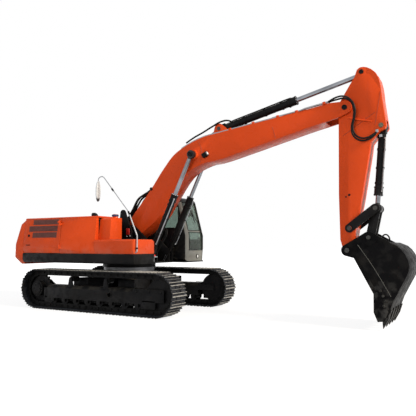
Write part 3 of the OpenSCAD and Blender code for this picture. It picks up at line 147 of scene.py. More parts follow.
class Finish:
    """A procedural material on Object coordinates, with short ways to add its nodes."""

    def __init__(self, name, colour, roughness, metallic=0.0):
        self.material = bpy.data.materials.new(name)
        self.material.use_nodes = True
        self.nodes = self.material.node_tree.nodes
        self.links = self.material.node_tree.links
        self.shader = self.nodes["Principled BSDF"]
        self.place = self.nodes.new("ShaderNodeTexCoord").outputs["Object"]
        self.normal = self.nodes.new("ShaderNodeNewGeometry").outputs["Normal"]
        self.set("Base Color", (*colour, 1))
        self.set("Roughness", roughness)
        self.set("Metallic", metallic)

    def set(self, socket, value):
        self.shader.inputs[socket].default_value = value
        return self

    def feed(self, socket, output):
        self.links.new(output, self.shader.inputs[socket])
        return self

    def stretched(self, scale):
        node = self.nodes.new("ShaderNodeMapping")
        node.inputs["Scale"].default_value = scale
        self.links.new(self.place, node.inputs["Vector"])
        return node.outputs["Vector"]

    def noise(self, scale, detail, place=None):
        node = self.nodes.new("ShaderNodeTexNoise")
        node.inputs["Scale"].default_value = scale
        node.inputs["Detail"].default_value = detail
        self.links.new(place or self.place, node.inputs["Vector"])
        return node.outputs["Fac"]

    def cells(self, scale):
        node = self.nodes.new("ShaderNodeTexVoronoi")
        node.inputs["Scale"].default_value = scale
        self.links.new(self.place, node.inputs["Vector"])
        return node.outputs["Distance"]

    def waves(self, scale, direction, distortion=0.0):
        node = self.nodes.new("ShaderNodeTexWave")
        node.bands_direction = direction
        node.inputs["Scale"].default_value = scale
        node.inputs["Distortion"].default_value = distortion
        self.links.new(self.place, node.inputs["Vector"])
        return node.outputs["Fac"]

    def distance(self, place, point):
        node = self.nodes.new("ShaderNodeVectorMath")
        node.operation = "DISTANCE"
        node.inputs[1].default_value = point
        self.links.new(place, node.inputs[0])
        return node.outputs["Value"]

    def axis(self, vector, name):
        node = self.nodes.new("ShaderNodeSeparateXYZ")
        self.links.new(vector, node.inputs["Vector"])
        return node.outputs[name]

    def spread(self, value, low, high, to_low=0.0, to_high=1.0):
        node = self.nodes.new("ShaderNodeMapRange")
        node.interpolation_type = "SMOOTHSTEP"
        limits = (("From Min", low), ("From Max", high), ("To Min", to_low), ("To Max", to_high))
        for socket, number in limits:
            node.inputs[socket].default_value = number
        self.links.new(value, node.inputs["Value"])
        return node.outputs["Result"]

    def maths(self, operation, first, second):
        node = self.nodes.new("ShaderNodeMath")
        node.operation = operation
        for socket, value in zip(node.inputs, (first, second)):
            if isinstance(value, (int, float)):
                socket.default_value = value
            else:
                self.links.new(value, socket)
        return node.outputs["Value"]

    def blend(self, factor, first, second):
        node = self.nodes.new("ShaderNodeMix")
        node.data_type = "RGBA"
        self.links.new(factor, node.inputs["Factor"])
        for socket, value in ((node.inputs[6], first), (node.inputs[7], second)):
            if isinstance(value, bpy.types.NodeSocket):
                self.links.new(value, socket)
            else:
                socket.default_value = (*value, 1)
        return node.outputs[2]

    def edges(self, radius):
        """0 on flats, up to 1 where the surface turns sharply within a radius."""
        flat, sharp = 0.985, 0.80
        soft = self.nodes.new("ShaderNodeBevel")
        soft.samples = 4
        soft.inputs["Radius"].default_value = radius
        node = self.nodes.new("ShaderNodeVectorMath")
        node.operation = "DOT_PRODUCT"
        self.links.new(soft.outputs["Normal"], node.inputs[0])
        self.links.new(self.normal, node.inputs[1])
        return self.spread(node.outputs["Value"], flat, sharp)

    def bump(self, height, strength, distance):
        node = self.nodes.new("ShaderNodeBump")
        node.inputs["Strength"].default_value = strength
        node.inputs["Distance"].default_value = distance
        self.links.new(height, node.inputs["Height"])
        return self.feed("Normal", node.outputs["Normal"])


def shade(colour, share):
    """A colour made darker or lighter by a share."""
    return tuple(min(1.0, channel * share) for channel in colour)


def body_paint(name, colour, dust, gloss=0.30):
    """Sprayed paint: slight cloudiness, orange peel, streaks of dirt and a film of dust low down."""
    paint = Finish(name, colour, gloss)
    cloud = paint.spread(paint.noise(0.9, 5), 0.35, 0.7)
    tone = paint.blend(cloud, shade(colour, 0.93), shade(colour, 1.05))
    streaks = paint.spread(paint.noise(1.0, 6, paint.stretched((5.0, 5.0, 0.55))), 0.56, 0.80, 0.0, 0.22)
    tone = paint.blend(streaks, tone, shade(colour, 0.62))
    low = paint.spread(paint.axis(paint.place, "Z"), 1.1, 1.9, 0.35, 0.0)
    film = paint.maths("MULTIPLY", low, paint.spread(paint.noise(3.5, 8), 0.38, 0.68))
    tone = paint.blend(film, tone, dust)
    patches = paint.spread(paint.noise(12.0, 7), 0.42, 0.66, 0.10, 0.75)
    rub = paint.maths("MULTIPLY", paint.edges(0.014), patches)
    paint.feed("Base Color", paint.blend(rub, tone, shade(colour, 1.5)))
    paint.feed("Roughness", paint.spread(paint.noise(7.0, 6), 0.3, 0.75, gloss * 0.8, gloss * 1.5))
    paint.set("Specular IOR Level", 0.10).set("Coat Weight", 0.03).set("Coat Roughness", 0.12)
    return paint.bump(paint.noise(210.0, 2), 0.035, 0.004).material


def black_paint(name, colour, dust):
    """Satin black paint with dust on what faces up and grime in patches."""
    amount, gloss = 0.12, 0.42
    paint = Finish(name, colour, gloss)
    patch = paint.spread(paint.noise(2.2, 8), 0.42, 0.72)
    tone = paint.blend(patch, colour, shade(colour, 2.1))
    upward = paint.spread(paint.axis(paint.normal, "Z"), 0.15, 0.95, 0.06, 1.0)
    thin = paint.spread(paint.noise(5.0, 9), 0.36, 0.66, 0.0, amount)
    tone = paint.blend(paint.maths("MULTIPLY", upward, thin), tone, dust)
    patches = paint.spread(paint.noise(11.0, 7), 0.45, 0.68, 0.05, 0.6)
    rub = paint.maths("MULTIPLY", paint.edges(0.012), patches)
    paint.feed("Base Color", paint.blend(rub, tone, (0.075, 0.073, 0.070)))
    paint.feed("Roughness", paint.spread(paint.noise(9.0, 6), 0.3, 0.7, gloss * 0.75, gloss * 1.6))
    paint.set("Specular IOR Level", 0.09)
    return paint.bump(paint.noise(130.0, 4), 0.06, 0.004).material


def cab_finish(name, dark, pale, dust):
    """Black cab paint, with the front frame's near pillar, cross bar and lower panel in grey."""
    paint = Finish(name, dark, 0.34)
    across, up = paint.axis(paint.place, "Y"), paint.axis(paint.place, "Z")
    slope = (CAB_BROW.x - CAB_BEND.x) / (CAB_BROW.z - CAB_BEND.z)
    above = paint.maths("MAXIMUM", paint.maths("SUBTRACT", up, CAB_BEND.z), 0.0)
    line = paint.maths("ADD", paint.maths("MULTIPLY", above, slope), CAB_BEND.x)
    ahead = paint.spread(paint.maths("SUBTRACT", paint.axis(paint.place, "X"), line), -0.075, -0.068)
    near = paint.spread(across, CAB_LEFT - 0.11, CAB_LEFT - 0.10, 1.0, 0.0)
    under = paint.spread(up, CAB_BROW.z - 0.05, CAB_BROW.z - 0.045, 1.0, 0.0)
    grey = paint.maths("MULTIPLY", paint.maths("MULTIPLY", ahead, near), under)
    cloud = paint.spread(paint.noise(1.6, 6), 0.35, 0.7, 0.0, 0.5)
    tone = paint.blend(grey, paint.blend(cloud, dark, shade(dark, 1.8)), pale)
    settled = paint.spread(paint.noise(5.0, 9), 0.45, 0.75, 0.0, 0.22)
    low = paint.maths("MULTIPLY", settled, paint.spread(up, 1.3, 2.0, 1.0, 0.15))
    paint.feed("Base Color", paint.blend(low, tone, shade(dust, 0.7)))
    paint.feed("Roughness", paint.spread(paint.noise(8.0, 6), 0.3, 0.75, 0.26, 0.50))
    paint.set("Specular IOR Level", 0.10).set("Coat Weight", 0.04).set("Coat Roughness", 0.10)
    return paint.bump(paint.noise(200.0, 2), 0.03, 0.004).material


def two_heights(name, low_colour, high_colour, height, roughness):
    """A moulded shell, darker below a height."""
    shell = Finish(name, high_colour, roughness)
    share = shell.spread(shell.axis(shell.place, "Z"), height - 0.02, height + 0.02)
    spots = shell.spread(shell.noise(9.0, 7), 0.45, 0.75, 0.0, 0.3)
    tone = shell.blend(share, low_colour, high_colour)
    shell.feed("Base Color", shell.blend(spots, tone, shade(high_colour, 0.6)))
    return shell.bump(shell.noise(150.0, 3), 0.05, 0.003).material


def track_finish(name, colour, dust, rear, front, axle_height, plate):
    """Black chain, grey shoes and grouser tips worn bright, by their distance from the middle line."""
    steel = Finish(name, colour, 0.55)
    along = steel.axis(steel.place, "X")
    between = steel.maths("MINIMUM", steel.maths("MAXIMUM", along, rear), front)
    past = steel.maths("SUBTRACT", along, between)
    lift = steel.maths("SUBTRACT", steel.axis(steel.place, "Z"), axle_height)
    squares = [steel.maths("MULTIPLY", value, value) for value in (past, lift)]
    out = steel.maths("SQRT", steel.maths("ADD", *squares), 0.0)
    flank = steel.maths("ABSOLUTE", steel.axis(steel.normal, "Y"), 0.0)
    beyond = steel.spread(out, plate - 0.035, plate - 0.012)
    outside = steel.maths("MULTIPLY", beyond, steel.spread(flank, 0.4, 0.7, 1.0, 0.12))
    grain = steel.spread(steel.noise(6.0, 9), 0.30, 0.66)
    plates = steel.blend(grain, (0.009, 0.010, 0.013), (0.026, 0.029, 0.036))
    soil = steel.spread(steel.noise(9.0, 8), 0.58, 0.76, 0.0, 0.16)
    dirty = steel.blend(outside, colour, steel.blend(soil, plates, dust))
    tips = steel.spread(out, plate + 0.014, plate + 0.026, 0.0, 0.9)
    worn = steel.maths("MULTIPLY", tips, steel.spread(steel.noise(14.0, 6), 0.28, 0.50))
    steel.feed("Base Color", steel.blend(worn, dirty, (0.34, 0.335, 0.32)))
    steel.feed("Metallic", steel.maths("MULTIPLY", worn, 0.5))
    steel.set("Specular IOR Level", 0.10)
    steel.feed("Roughness", steel.spread(steel.noise(11.0, 7), 0.3, 0.7, 0.42, 0.75))
    return steel.bump(steel.noise(70.0, 8), 0.25, 0.006).material


def digging_steel(name, colour, dust, tip, reach, bright):
    """Black paint rubbed off towards the bucket's tip, with scratches along the dig."""
    steel = Finish(name, colour, 0.45)
    near = steel.spread(steel.distance(steel.place, tip), reach * 0.25, reach, bright, 0.04)
    scratch = steel.spread(steel.noise(9.0, 9, steel.stretched((0.6, 7.0, 0.6))), 0.46, 0.62)
    rubbed = steel.maths("MULTIPLY", near, scratch)
    patch = steel.spread(steel.noise(2.6, 8), 0.50, 0.78, 0.0, 0.16)
    tone = steel.blend(patch, colour, shade(dust, 0.25))
    steel.set("Specular IOR Level", 0.03)
    steel.feed("Base Color", steel.blend(rubbed, tone, (0.10, 0.098, 0.094)))
    steel.feed("Metallic", steel.maths("MULTIPLY", rubbed, 0.9))
    steel.feed("Roughness", steel.spread(steel.noise(8.0, 7), 0.3, 0.7, 0.34, 0.62))
    return steel.bump(steel.noise(55.0, 8), 0.14, 0.005).material


def bare_metal(name, colour, roughness, dust, grit=0.10):
    """Machined or cast metal with tool marks and a little grime."""
    metal = Finish(name, colour, roughness, 1.0)
    grime = metal.spread(metal.noise(6.0, 8), 0.50, 0.78, 0.0, 0.35)
    metal.feed("Base Color", metal.blend(grime, colour, shade(dust, 0.35)))
    metal.feed("Roughness", metal.spread(metal.noise(16.0, 5), 0.3, 0.7, roughness * 0.8, roughness * 1.5))
    return metal.bump(metal.noise(160.0, 4), grit, 0.003).material


def polished_rod(name, eye, reach, black):
    """Hard chrome with a film of oil, and black paint on the eye round its pin."""
    rod = Finish(name, (0.80, 0.81, 0.83), 0.10, 1.0)
    gap = rod.distance(rod.stretched((1, 0, 1)), (eye.x, 0, eye.z))
    bare = rod.spread(gap, reach, reach + 0.004)
    film = rod.spread(rod.noise(2.5, 6), 0.35, 0.75)
    chrome = rod.blend(film, (0.30, 0.315, 0.345), (0.17, 0.175, 0.185))
    rod.feed("Base Color", rod.blend(bare, shade(black, 1.3), chrome))
    rod.feed("Metallic", bare)
    smears = rod.spread(rod.noise(5.0, 6), 0.35, 0.75, 0.06, 0.20)
    painted = rod.maths("MULTIPLY", rod.maths("SUBTRACT", 1.0, bare), 0.34)
    rod.feed("Roughness", rod.maths("ADD", smears, painted))
    return rod.material


def tinted_glass(name, tint):
    """Green safety glass with a thin film of dust."""
    glass = Finish(name, tint, 0.03)
    film = glass.spread(glass.noise(4.0, 7), 0.45, 0.8, 0.0, 0.25)
    glass.feed("Base Color", glass.blend(film, tint, shade(tint, 0.8)))
    glass.feed("Roughness", glass.spread(glass.noise(3.0, 6), 0.4, 0.8, 0.02, 0.10))
    glass.set("Transmission Weight", 0.92).set("IOR", 1.2).set("Specular IOR Level", 0.6)
    return glass.material


def moulded_plastic(name, colour):
    """Grained plastic."""
    roughness = 0.55
    plastic = Finish(name, colour, roughness)
    cloud = plastic.spread(plastic.noise(5.0, 6), 0.4, 0.7)
    plastic.feed("Base Color", plastic.blend(cloud, colour, shade(colour, 1.5)))
    plastic.set("Specular IOR Level", 0.10)
    sheen = plastic.spread(plastic.noise(20.0, 4), 0.3, 0.7, roughness * 0.85, roughness * 1.15)
    plastic.feed("Roughness", sheen)
    return plastic.bump(plastic.cells(380.0), 0.12, 0.002).material


def hose_rubber(name):
    """Black hose cover with a fine wrapped texture."""
    black = (0.006, 0.006, 0.006)
    rubber = Finish(name, black, 0.5)
    rubber.set("Specular IOR Level", 0.12)
    dusty = rubber.spread(rubber.noise(7.0, 8), 0.48, 0.75, 0.0, 0.5)
    rubber.feed("Base Color", rubber.blend(dusty, black, (0.035, 0.033, 0.030)))
    return rubber.bump(rubber.waves(60.0, "DIAGONAL", 1.5), 0.08, 0.003).material


def seat_cloth(name):
    """Woven seat cover."""
    cloth = Finish(name, (0.045, 0.045, 0.05), 0.85)
    weave = cloth.maths("MULTIPLY", cloth.waves(110.0, "X", 0.4), cloth.waves(110.0, "Z", 0.4))
    cloth.feed("Base Color", cloth.blend(weave, (0.03, 0.03, 0.034), (0.085, 0.085, 0.09)))
    cloth.set("Sheen Weight", 0.3)
    return cloth.bump(weave, 0.25, 0.002).material


def grip_plate(name, colour, dust):
    """Step plate with raised grip studs and trodden dust."""
    plate = Finish(name, colour, 0.5)
    stud = plate.spread(plate.cells(34.0), 0.10, 0.30, 1.0, 0.0)
    tread = plate.spread(plate.noise(3.0, 7), 0.4, 0.7, 0.0, 0.4)
    tone = plate.blend(stud, colour, shade(colour, 2.2))
    plate.feed("Base Color", plate.blend(tread, tone, shade(dust, 0.6)))
    return plate.bump(stud, 0.6, 0.006).material


def lamp_lens(name):
    """Clear lens with moulded flutes."""
    lens = Finish(name, (0.93, 0.95, 0.97), 0.06)
    flutes = lens.waves(45.0, "Z")
    lens.feed("Base Color", lens.blend(flutes, (0.80, 0.83, 0.86), (0.97, 0.98, 1.0)))
    lens.set("Transmission Weight", 0.3)
    return lens.bump(flutes, 0.3, 0.003).material


def plain_paint(name, colour, roughness=0.4):
    """A small painted part with slight cloudiness."""
    paint = Finish(name, colour, roughness)
    cloud = paint.spread(paint.noise(14.0, 6), 0.35, 0.7)
    paint.feed("Base Color", paint.blend(cloud, shade(colour, 0.85), shade(colour, 1.1)))
    return paint.bump(paint.noise(240.0, 2), 0.04, 0.002).material


FINISHES = {}


# Modelling by hand, in short steps


def clear():
    """Object mode, with nothing selected."""
    if bpy.context.mode != "OBJECT":
        bpy.ops.object.mode_set(mode="OBJECT")
    bpy.ops.object.select_all(action="DESELECT")


def select(*pieces):
    """Only these pieces selected, the first of them active."""
    clear()
    for piece in pieces:
        piece.select_set(True)
    bpy.context.view_layer.objects.active = pieces[0]


def edit(piece, faces=None):
    """Edit mode with all of a piece selected, or only the faces that pass a test of centre and normal."""
    select(piece)
    bpy.ops.object.mode_set(mode="EDIT")
    bpy.ops.mesh.select_mode(type="FACE")
    bpy.ops.mesh.select_all(action="SELECT" if faces is None else "DESELECT")
    if faces is not None:
        bpy.ops.object.mode_set(mode="OBJECT")
        for polygon in piece.data.polygons:
            polygon.select = faces(polygon.center, polygon.normal)
        bpy.ops.object.mode_set(mode="EDIT")


def settle(piece):
    """Place, turn and size go into the mesh."""
    select(piece)
    bpy.ops.object.transform_apply(location=True, rotation=True, scale=True)
    return piece


def rounded(piece, width, segments=2, angle=30.0):
    """Edges sharper than an angle get a bevel."""
    select(piece)
    bevel = piece.modifiers.new("Edges", "BEVEL")
    bevel.width, bevel.segments = width, segments
    bevel.limit_method, bevel.angle_limit = "ANGLE", math.radians(angle)
    bpy.ops.object.modifier_apply(modifier=bevel.name)
    return piece


def shown(piece, name, body, slot, finish=None):
    """Smooth shading, finish, name and ride of a finished piece."""
    settle(piece)
    bpy.ops.object.shade_smooth_by_angle(angle=math.radians(32))
    piece.name = piece.data.name = name
    piece.data.materials.clear()
    piece.data.materials.append(FINISHES[finish or slot])
    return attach(piece, body) if body else piece


def block(low, high, width, segments=2):
    """A box between two corners with rounded edges."""
    low, high = Vector(low), Vector(high)
    clear()
    bpy.ops.mesh.primitive_cube_add(size=1, location=(low + high) / 2)
    piece = bpy.context.object
    piece.scale = high - low
    return rounded(settle(piece), width, segments)


def turned_to(axis):
    """The turn that brings Z to an axis."""
    return Vector(axis).to_track_quat("Z", "Y").to_euler()


def disc(centre, axis, radius, height, lip, dish=0.0, sides=32):
    """A round boss from a centre out along an axis, its top drawn in by a lip and then raised or dished."""
    axis = Vector(axis).normalized()
    clear()
    half_way = Vector(centre) + axis * height / 2
    bpy.ops.mesh.primitive_cylinder_add(vertices=sides, radius=radius, depth=height,
                                        location=half_way, rotation=turned_to(axis))
    piece = settle(bpy.context.object)
    edit(piece, lambda place, normal: normal.dot(axis) > FACING)
    bpy.ops.mesh.inset(thickness=radius * lip)
    if dish:
        bpy.ops.mesh.extrude_region_move(TRANSFORM_OT_translate={"value": axis * dish})
        bpy.ops.mesh.inset(thickness=radius * 0.06)
    clear()
    return rounded(piece, min(radius, height) * 0.10, 2, 40)


def joined(pieces):
    """Several pieces as one mesh."""
    select(*pieces)
    bpy.ops.object.join()
    return bpy.context.object


def copies(piece, places):
    """A piece repeated at each matrix, as one mesh."""
    made = []
    for place in places:
        copy = piece.copy()
        copy.data = piece.data.copy()
        copy.data.transform(place)
        bpy.context.collection.objects.link(copy)
        made.append(copy)
    bpy.data.objects.remove(piece)
    return joined(made)


def bolt(radius):
    """A hexagon bolt head on its washer, standing on the origin along Z."""
    clear()
    bpy.ops.mesh.primitive_cylinder_add(vertices=6, radius=radius, depth=radius * 0.7,
                                        location=(0, 0, radius * 0.55))
    head = settle(bpy.context.object)
    edit(head, lambda place, normal: normal.z > FACING)
    bpy.ops.mesh.inset(thickness=radius * 0.14)
    bpy.ops.transform.translate(value=(0, 0, radius * 0.10))
    edit(head, lambda place, normal: normal.z < -FACING)
    bpy.ops.transform.resize(value=(1.45, 1.45, 1))
    bpy.ops.mesh.extrude_region_move(TRANSFORM_OT_translate={"value": (0, 0, -radius * 0.2)})
    clear()
    return head


def bolts(places, axis, radius):
    """Bolt heads at each place, standing out along an axis."""
    turn = turned_to(axis).to_matrix().to_4x4()
    return copies(bolt(radius), [Matrix.Translation(Vector(place)) @ turn for place in places])


def circle(centre, first, second, radius, count, start=0.0):
    """Places evenly round a centre, in the plane of two directions."""
    turns = (math.tau * k / count + start for k in range(count))
    return [Vector(centre) + (first * math.cos(turn) + second * math.sin(turn)) * radius for turn in turns]


def tube(points, radius, sides=3, steps=6, smooth=True, loop=False):
    """A round tube or hose along points, closed on itself where it is a loop."""
    clear()
    bpy.ops.curve.primitive_bezier_curve_add()
    curve = bpy.context.object
    curve.data.splines.clear()
    spline = curve.data.splines.new("BEZIER")
    spline.bezier_points.add(len(points) - 1)
    for knot, point in zip(spline.bezier_points, points):
        knot.co = point
        knot.handle_left_type = knot.handle_right_type = "AUTO" if smooth else "VECTOR"
    spline.use_cyclic_u = loop
    curve.matrix_world = Matrix.Identity(4)
    curve.data.dimensions = "3D"
    curve.data.resolution_u = steps
    curve.data.bevel_depth, curve.data.bevel_resolution = radius, sides
    curve.data.use_fill_caps = True
    select(curve)
    bpy.ops.object.convert(target="MESH")
    return bpy.context.object


def sheet_cut(outline, low, high, width):
    """A plate of an X-Z outline between two Y places, with rounded edges."""
    clear()
    bpy.ops.curve.primitive_bezier_curve_add()
    curve = bpy.context.object
    data = curve.data
    data.splines.clear()
    data.dimensions, data.fill_mode = "2D", "BOTH"
    spline = data.splines.new("POLY")
    spline.points.add(len(outline) - 1)
    for knot, (x, z) in zip(spline.points, outline):
        knot.co = (x, z, 0, 1)
    spline.use_cyclic_u = True
    data.extrude = (high - low) / 2 - width
    data.bevel_depth, data.bevel_resolution, data.offset = width, 1, -width
    curve.matrix_world = Matrix.Identity(4)
    select(curve)
    bpy.ops.object.convert(target="MESH")
    piece = bpy.context.object
    piece.rotation_euler = (math.pi / 2, 0, 0)
    piece.location = (0, (low + high) / 2, 0)
    return settle(piece)


def middle(node):
    """The middle of a frame piece's box."""
    low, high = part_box(node)
    return (Vector(low) + Vector(high)) / 2


def pin(joint):
    """Where a joint's axis crosses the middle plane."""
    found = next(entry for entry in frame["joints"] if entry["name"] == joint)
    place = found.get("pos_m") or found.get("pos")
    return Vector((place[0], 0, place[2]))


def axes(start, end):
    """Directions along a pin line and square to it, in the X-Z plane."""
    along = (end - start).normalized()
    return along, Vector((-along.z, 0, along.x))


def on(line, along, across, y=0.0):
    """The place at shares of a pin line's length along it and square to it."""
    start, end = line
    first, second = axes(start, end)
    length = (end - start).length
    return start + (first * along + second * across) * length + Y * y


def turn_to_line(line):
    """The turn that brings X to a pin line."""
    along = axes(*line)[0]
    return Matrix.Rotation(-math.atan2(along.z, along.x), 4, "Y")


def face(node, facing):
    """How far a frame piece reaches to one side."""
    low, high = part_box(node)
    return low[1] if facing == RIGHT else high[1]


def ring(centre, axis, inner, outer, width):
    """A band round a bar."""
    axis = Vector(axis).normalized()
    clear()
    bpy.ops.mesh.primitive_cylinder_add(vertices=32, radius=outer, depth=width, end_fill_type="NOTHING",
                                        location=centre, rotation=turned_to(axis))
    piece = settle(bpy.context.object)
    wall = piece.modifiers.new("Wall", "SOLIDIFY")
    wall.thickness = outer - inner
    wall.offset = -1
    bpy.ops.object.modifier_apply(modifier=wall.name)
    return rounded(piece, (outer - inner) * 0.25, 2, 40)


def panel(corners, thickness, width=0.004):
    """A plate through four corners, thickened behind its face."""
    clear()
    bpy.ops.mesh.primitive_plane_add(size=2)
    piece = bpy.context.object
    for vertex, corner in zip(piece.data.vertices, (corners[0], corners[1], corners[3], corners[2])):
        vertex.co = corner
    wall = piece.modifiers.new("Wall", "SOLIDIFY")
    wall.thickness = thickness
    wall.offset = -1
    bpy.ops.object.modifier_apply(modifier=wall.name)
    return rounded(piece, width, 2)


def pin_caps(place, reach, radius, height):
    """End caps with three screws on both ends of a pin, out of faces that far from the middle."""
    made = []
    for side in SIDES:
        out = Y * side
        end = place + out * reach
        heads = circle(end + out * height * 0.8, X, Z, radius * 0.55, 3, 0.5)
        made.append(disc(end, out, radius, height, 0.16, -height * 0.25))
        made.append(bolts(heads, out, radius * 0.15))
    return joined(made)


def at_side(points, y):
    """Points of an X-Z drawing, put at one place across."""
    return [Vector((x, y, z)) for x, z in points]


def softened(node, width, finish=None, segments=2):
    """A copy of a frame piece with rounded edges, standing in for it."""
    source = frame["nodes"][node]
    piece = bpy.data.objects.new(node + "_shell", source.data.copy())
    bpy.context.collection.objects.link(piece)
    edit(piece)
    bpy.ops.mesh.remove_doubles(threshold=0.0002)
    bpy.ops.mesh.dissolve_limited(angle_limit=math.radians(1.0))
    clear()
    rounded(piece, width, segments, 34.0)
    shown(piece, node + "_shell", body_of(source)[0], SLOTS[node], finish)
    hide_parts(node)
    return piece


# Places on the machine, in metres

SLOTS = {entry["node"]: entry["material_slot"] for entry in frame["record"]["subparts"]}
BOOM = (pin("boom_lift"), pin("stick_swing"))
STICK = (pin("stick_swing"), pin("bucket_curl"))
CYLINDER_FOOT, ROD_PIN = pin("boom_barrel_pivot"), on(BOOM, 0.4035, 0.150)
STICK_BASE, STICK_TAIL = pin("stick_barrel_pivot"), on(STICK, -0.2405, 0.1171)
BUCKET_BASE, LINK_EYE = pin("bucket_barrel_pivot"), on(STICK, 0.7152, 0.1899)
ROCKER_PIN, LINK_PIN = pin("rocker_pivot"), pin("link_pivot")
CAB_RIGHT, CAB_LEFT = face("cab_frame", RIGHT), face("cab_roof", LEFT)
# How far out each side's two pipes run, along the boom and then past the stick's head
PIPE_INNER, PIPE_OUTER = (0.169, 0.223), (0.228, 0.272)
CAB_BEND, CAB_BROW = Vector((1.61, 0, 1.992)), Vector((1.336, 0, 2.980))
CAB_REAR, CAB_LENGTH, CAB_FLOOR, CAB_HEIGHT = -0.05, 1.66, 1.28, 1.78
HOUSE_HALF, CREASE, LEAN = 1.495, 1.63, math.radians(6)
SILL, SHOULDER, TAIL, DOOR = 1.50, 2.44, -2.64, -1.21
TRACK_Y, AXLE_Z, TUMBLERS, PITCH_R, PLATE, SHOES = 1.295, 0.535, 4.05, 0.426, 0.079, 50


def side_at(z):
    """Half the width over the side panels at a height."""
    return HOUSE_HALF - (z - CREASE) * math.tan(LEAN)


def cab_front(z):
    """The cab's front face at a height."""
    if z < CAB_BEND.z:
        return CAB_BEND.x
    return CAB_BEND.x + (z - CAB_BEND.z) * (CAB_BROW.x - CAB_BEND.x) / (CAB_BROW.z - CAB_BEND.z)


def before_cab(out, y, z):
    """A place in front of the cab's front face."""
    return Vector((cab_front(z) + out, y, z))


def cab_loop(y, shares):
    """Corners on a side of the cab, from shares of its length and height."""
    return [Vector((CAB_REAR + along * CAB_LENGTH, y, CAB_FLOOR + up * CAB_HEIGHT)) for along, up in shares]


def tail_at(y):
    """The counterweight's round back at a distance from the middle."""
    radius = -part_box("counterweight")[0][0]
    return -math.sqrt(radius * radius - y * y)


def chain_at(distance):
    """A place on the track's pin line from the lower run's rear end, as X and Z from its middle."""
    arc = math.pi * PITCH_R
    distance %= 2 * TUMBLERS + 2 * arc
    if distance < TUMBLERS:
        return Vector((distance - TUMBLERS / 2, 0, -PITCH_R))
    if distance < TUMBLERS + arc:
        turn = (distance - TUMBLERS) / PITCH_R
        return Vector((TUMBLERS / 2 + PITCH_R * math.sin(turn), 0, -PITCH_R * math.cos(turn)))
    if distance < 2 * TUMBLERS + arc:
        return Vector((1.5 * TUMBLERS + arc - distance, 0, PITCH_R))
    turn = (distance - 2 * TUMBLERS - arc) / PITCH_R
    return Vector((-TUMBLERS / 2 - PITCH_R * math.sin(turn), 0, PITCH_R * math.cos(turn)))


# Operators


class EXCAVATOR_OT_finishes(bpy.types.Operator):
    """Make the finishes and put them on the frame's own pieces"""

    bl_idname = "excavator.finishes"
    bl_label = "Finishes"

    def execute(self, context):
        paint = context.scene.excavator_paint
        body, black, dust = tuple(paint.body), tuple(paint.black), tuple(paint.dust)
        low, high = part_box("right_track")
        axle = (low[2] + high[2]) / 2
        half = (high[2] - low[2]) / 2
        tip = Vector(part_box("bucket_teeth")[0])
        FINISHES.update({
            "orange_paint": body_paint("Orange paint", body, dust),
            "black_paint": black_paint("Black paint", black, dust),
            "cab_paint": body_paint("Cab paint", tuple(paint.cab), dust, 0.34),
            "grey_trim": body_paint("Grey trim", tuple(paint.trim), dust, 0.40),
            "track_steel": track_finish("Track steel", (0.004, 0.004, 0.004), dust,
                                        low[0] + half, high[0] - half, axle, half - 0.03),
            "bare_steel": bare_metal("Bare steel", (0.20, 0.20, 0.21), 0.42, dust),
            "boom_rod": polished_rod("Boom rod chrome", ROD_PIN, 0.125, black),
            "stick_rod": polished_rod("Stick rod chrome", STICK_TAIL, 0.145, black),
            "bucket_rod": polished_rod("Bucket rod chrome", LINK_EYE, 0.125, black),
            "cab_two_tone": cab_finish("Cab two tone", tuple(paint.cab), tuple(paint.trim), dust),
            "mirror_shell": two_heights("Mirror shell", (0.02, 0.02, 0.022), (0.55, 0.57, 0.60),
                                        2.93, 0.30),
            "mirror_glass": bare_metal("Mirror glass", (0.85, 0.87, 0.90), 0.05, dust, 0.0),
            "brass": bare_metal("Brass", (0.17, 0.145, 0.10), 0.45, dust),
            "pin_steel": bare_metal("Pin steel", (0.075, 0.075, 0.072), 0.50, dust),
            # Body colour darkened for the weld beads: painted shade along them
            "seam_shade_paint": plain_paint("Seam painted shade", shade(body, 0.45), 0.5),
            "cab_glazing": tinted_glass("Cab glazing", tuple(paint.glass)),
            "seat_cloth": seat_cloth("Woven cover"),
            "black_plastic": moulded_plastic("Black plastic", (0.005, 0.005, 0.0055)),
            "bucket_steel": digging_steel("Bucket steel", (0.004, 0.004, 0.0045), dust, tip, 1.3, 0.35),
            "worn_steel": digging_steel("Worn steel", (0.02, 0.02, 0.02), dust, tip, 1.0, 0.8),
            "hose_rubber": hose_rubber("Hose rubber"),
            "grip_plate": grip_plate("Grip plate", (0.008, 0.008, 0.009), dust),
            "lamp_lens": lamp_lens("Lamp lens"),
            "galvanized": bare_metal("Galvanized tube", (0.36, 0.37, 0.39), 0.40, dust),
            "red_paint": plain_paint("Red paint", (0.55, 0.02, 0.015)),
            "blue_plastic": plain_paint("Blue plastic", (0.006, 0.014, 0.075)),
            # Dark brown for the louvre grilles and hood vents: painted shade of their slots
            "vent_shade_mesh": plain_paint("Vent painted shade", (0.105, 0.033, 0.026), 0.7),
            "red_lens": plain_paint("Red lens", (0.45, 0.012, 0.010), 0.15),
        })
        own = {"boom_rods": "boom_rod", "stick_rod": "stick_rod", "bucket_rod": "bucket_rod",
               "boom_pipes": "galvanized", "stick_pipes": "orange_paint", "cab_floor": "cab_two_tone"}
        for name, node in frame["nodes"].items():
            node.data.materials.clear()
            node.data.materials.append(FINISHES[own.get(name, SLOTS[name])])
        return {"FINISHED"}


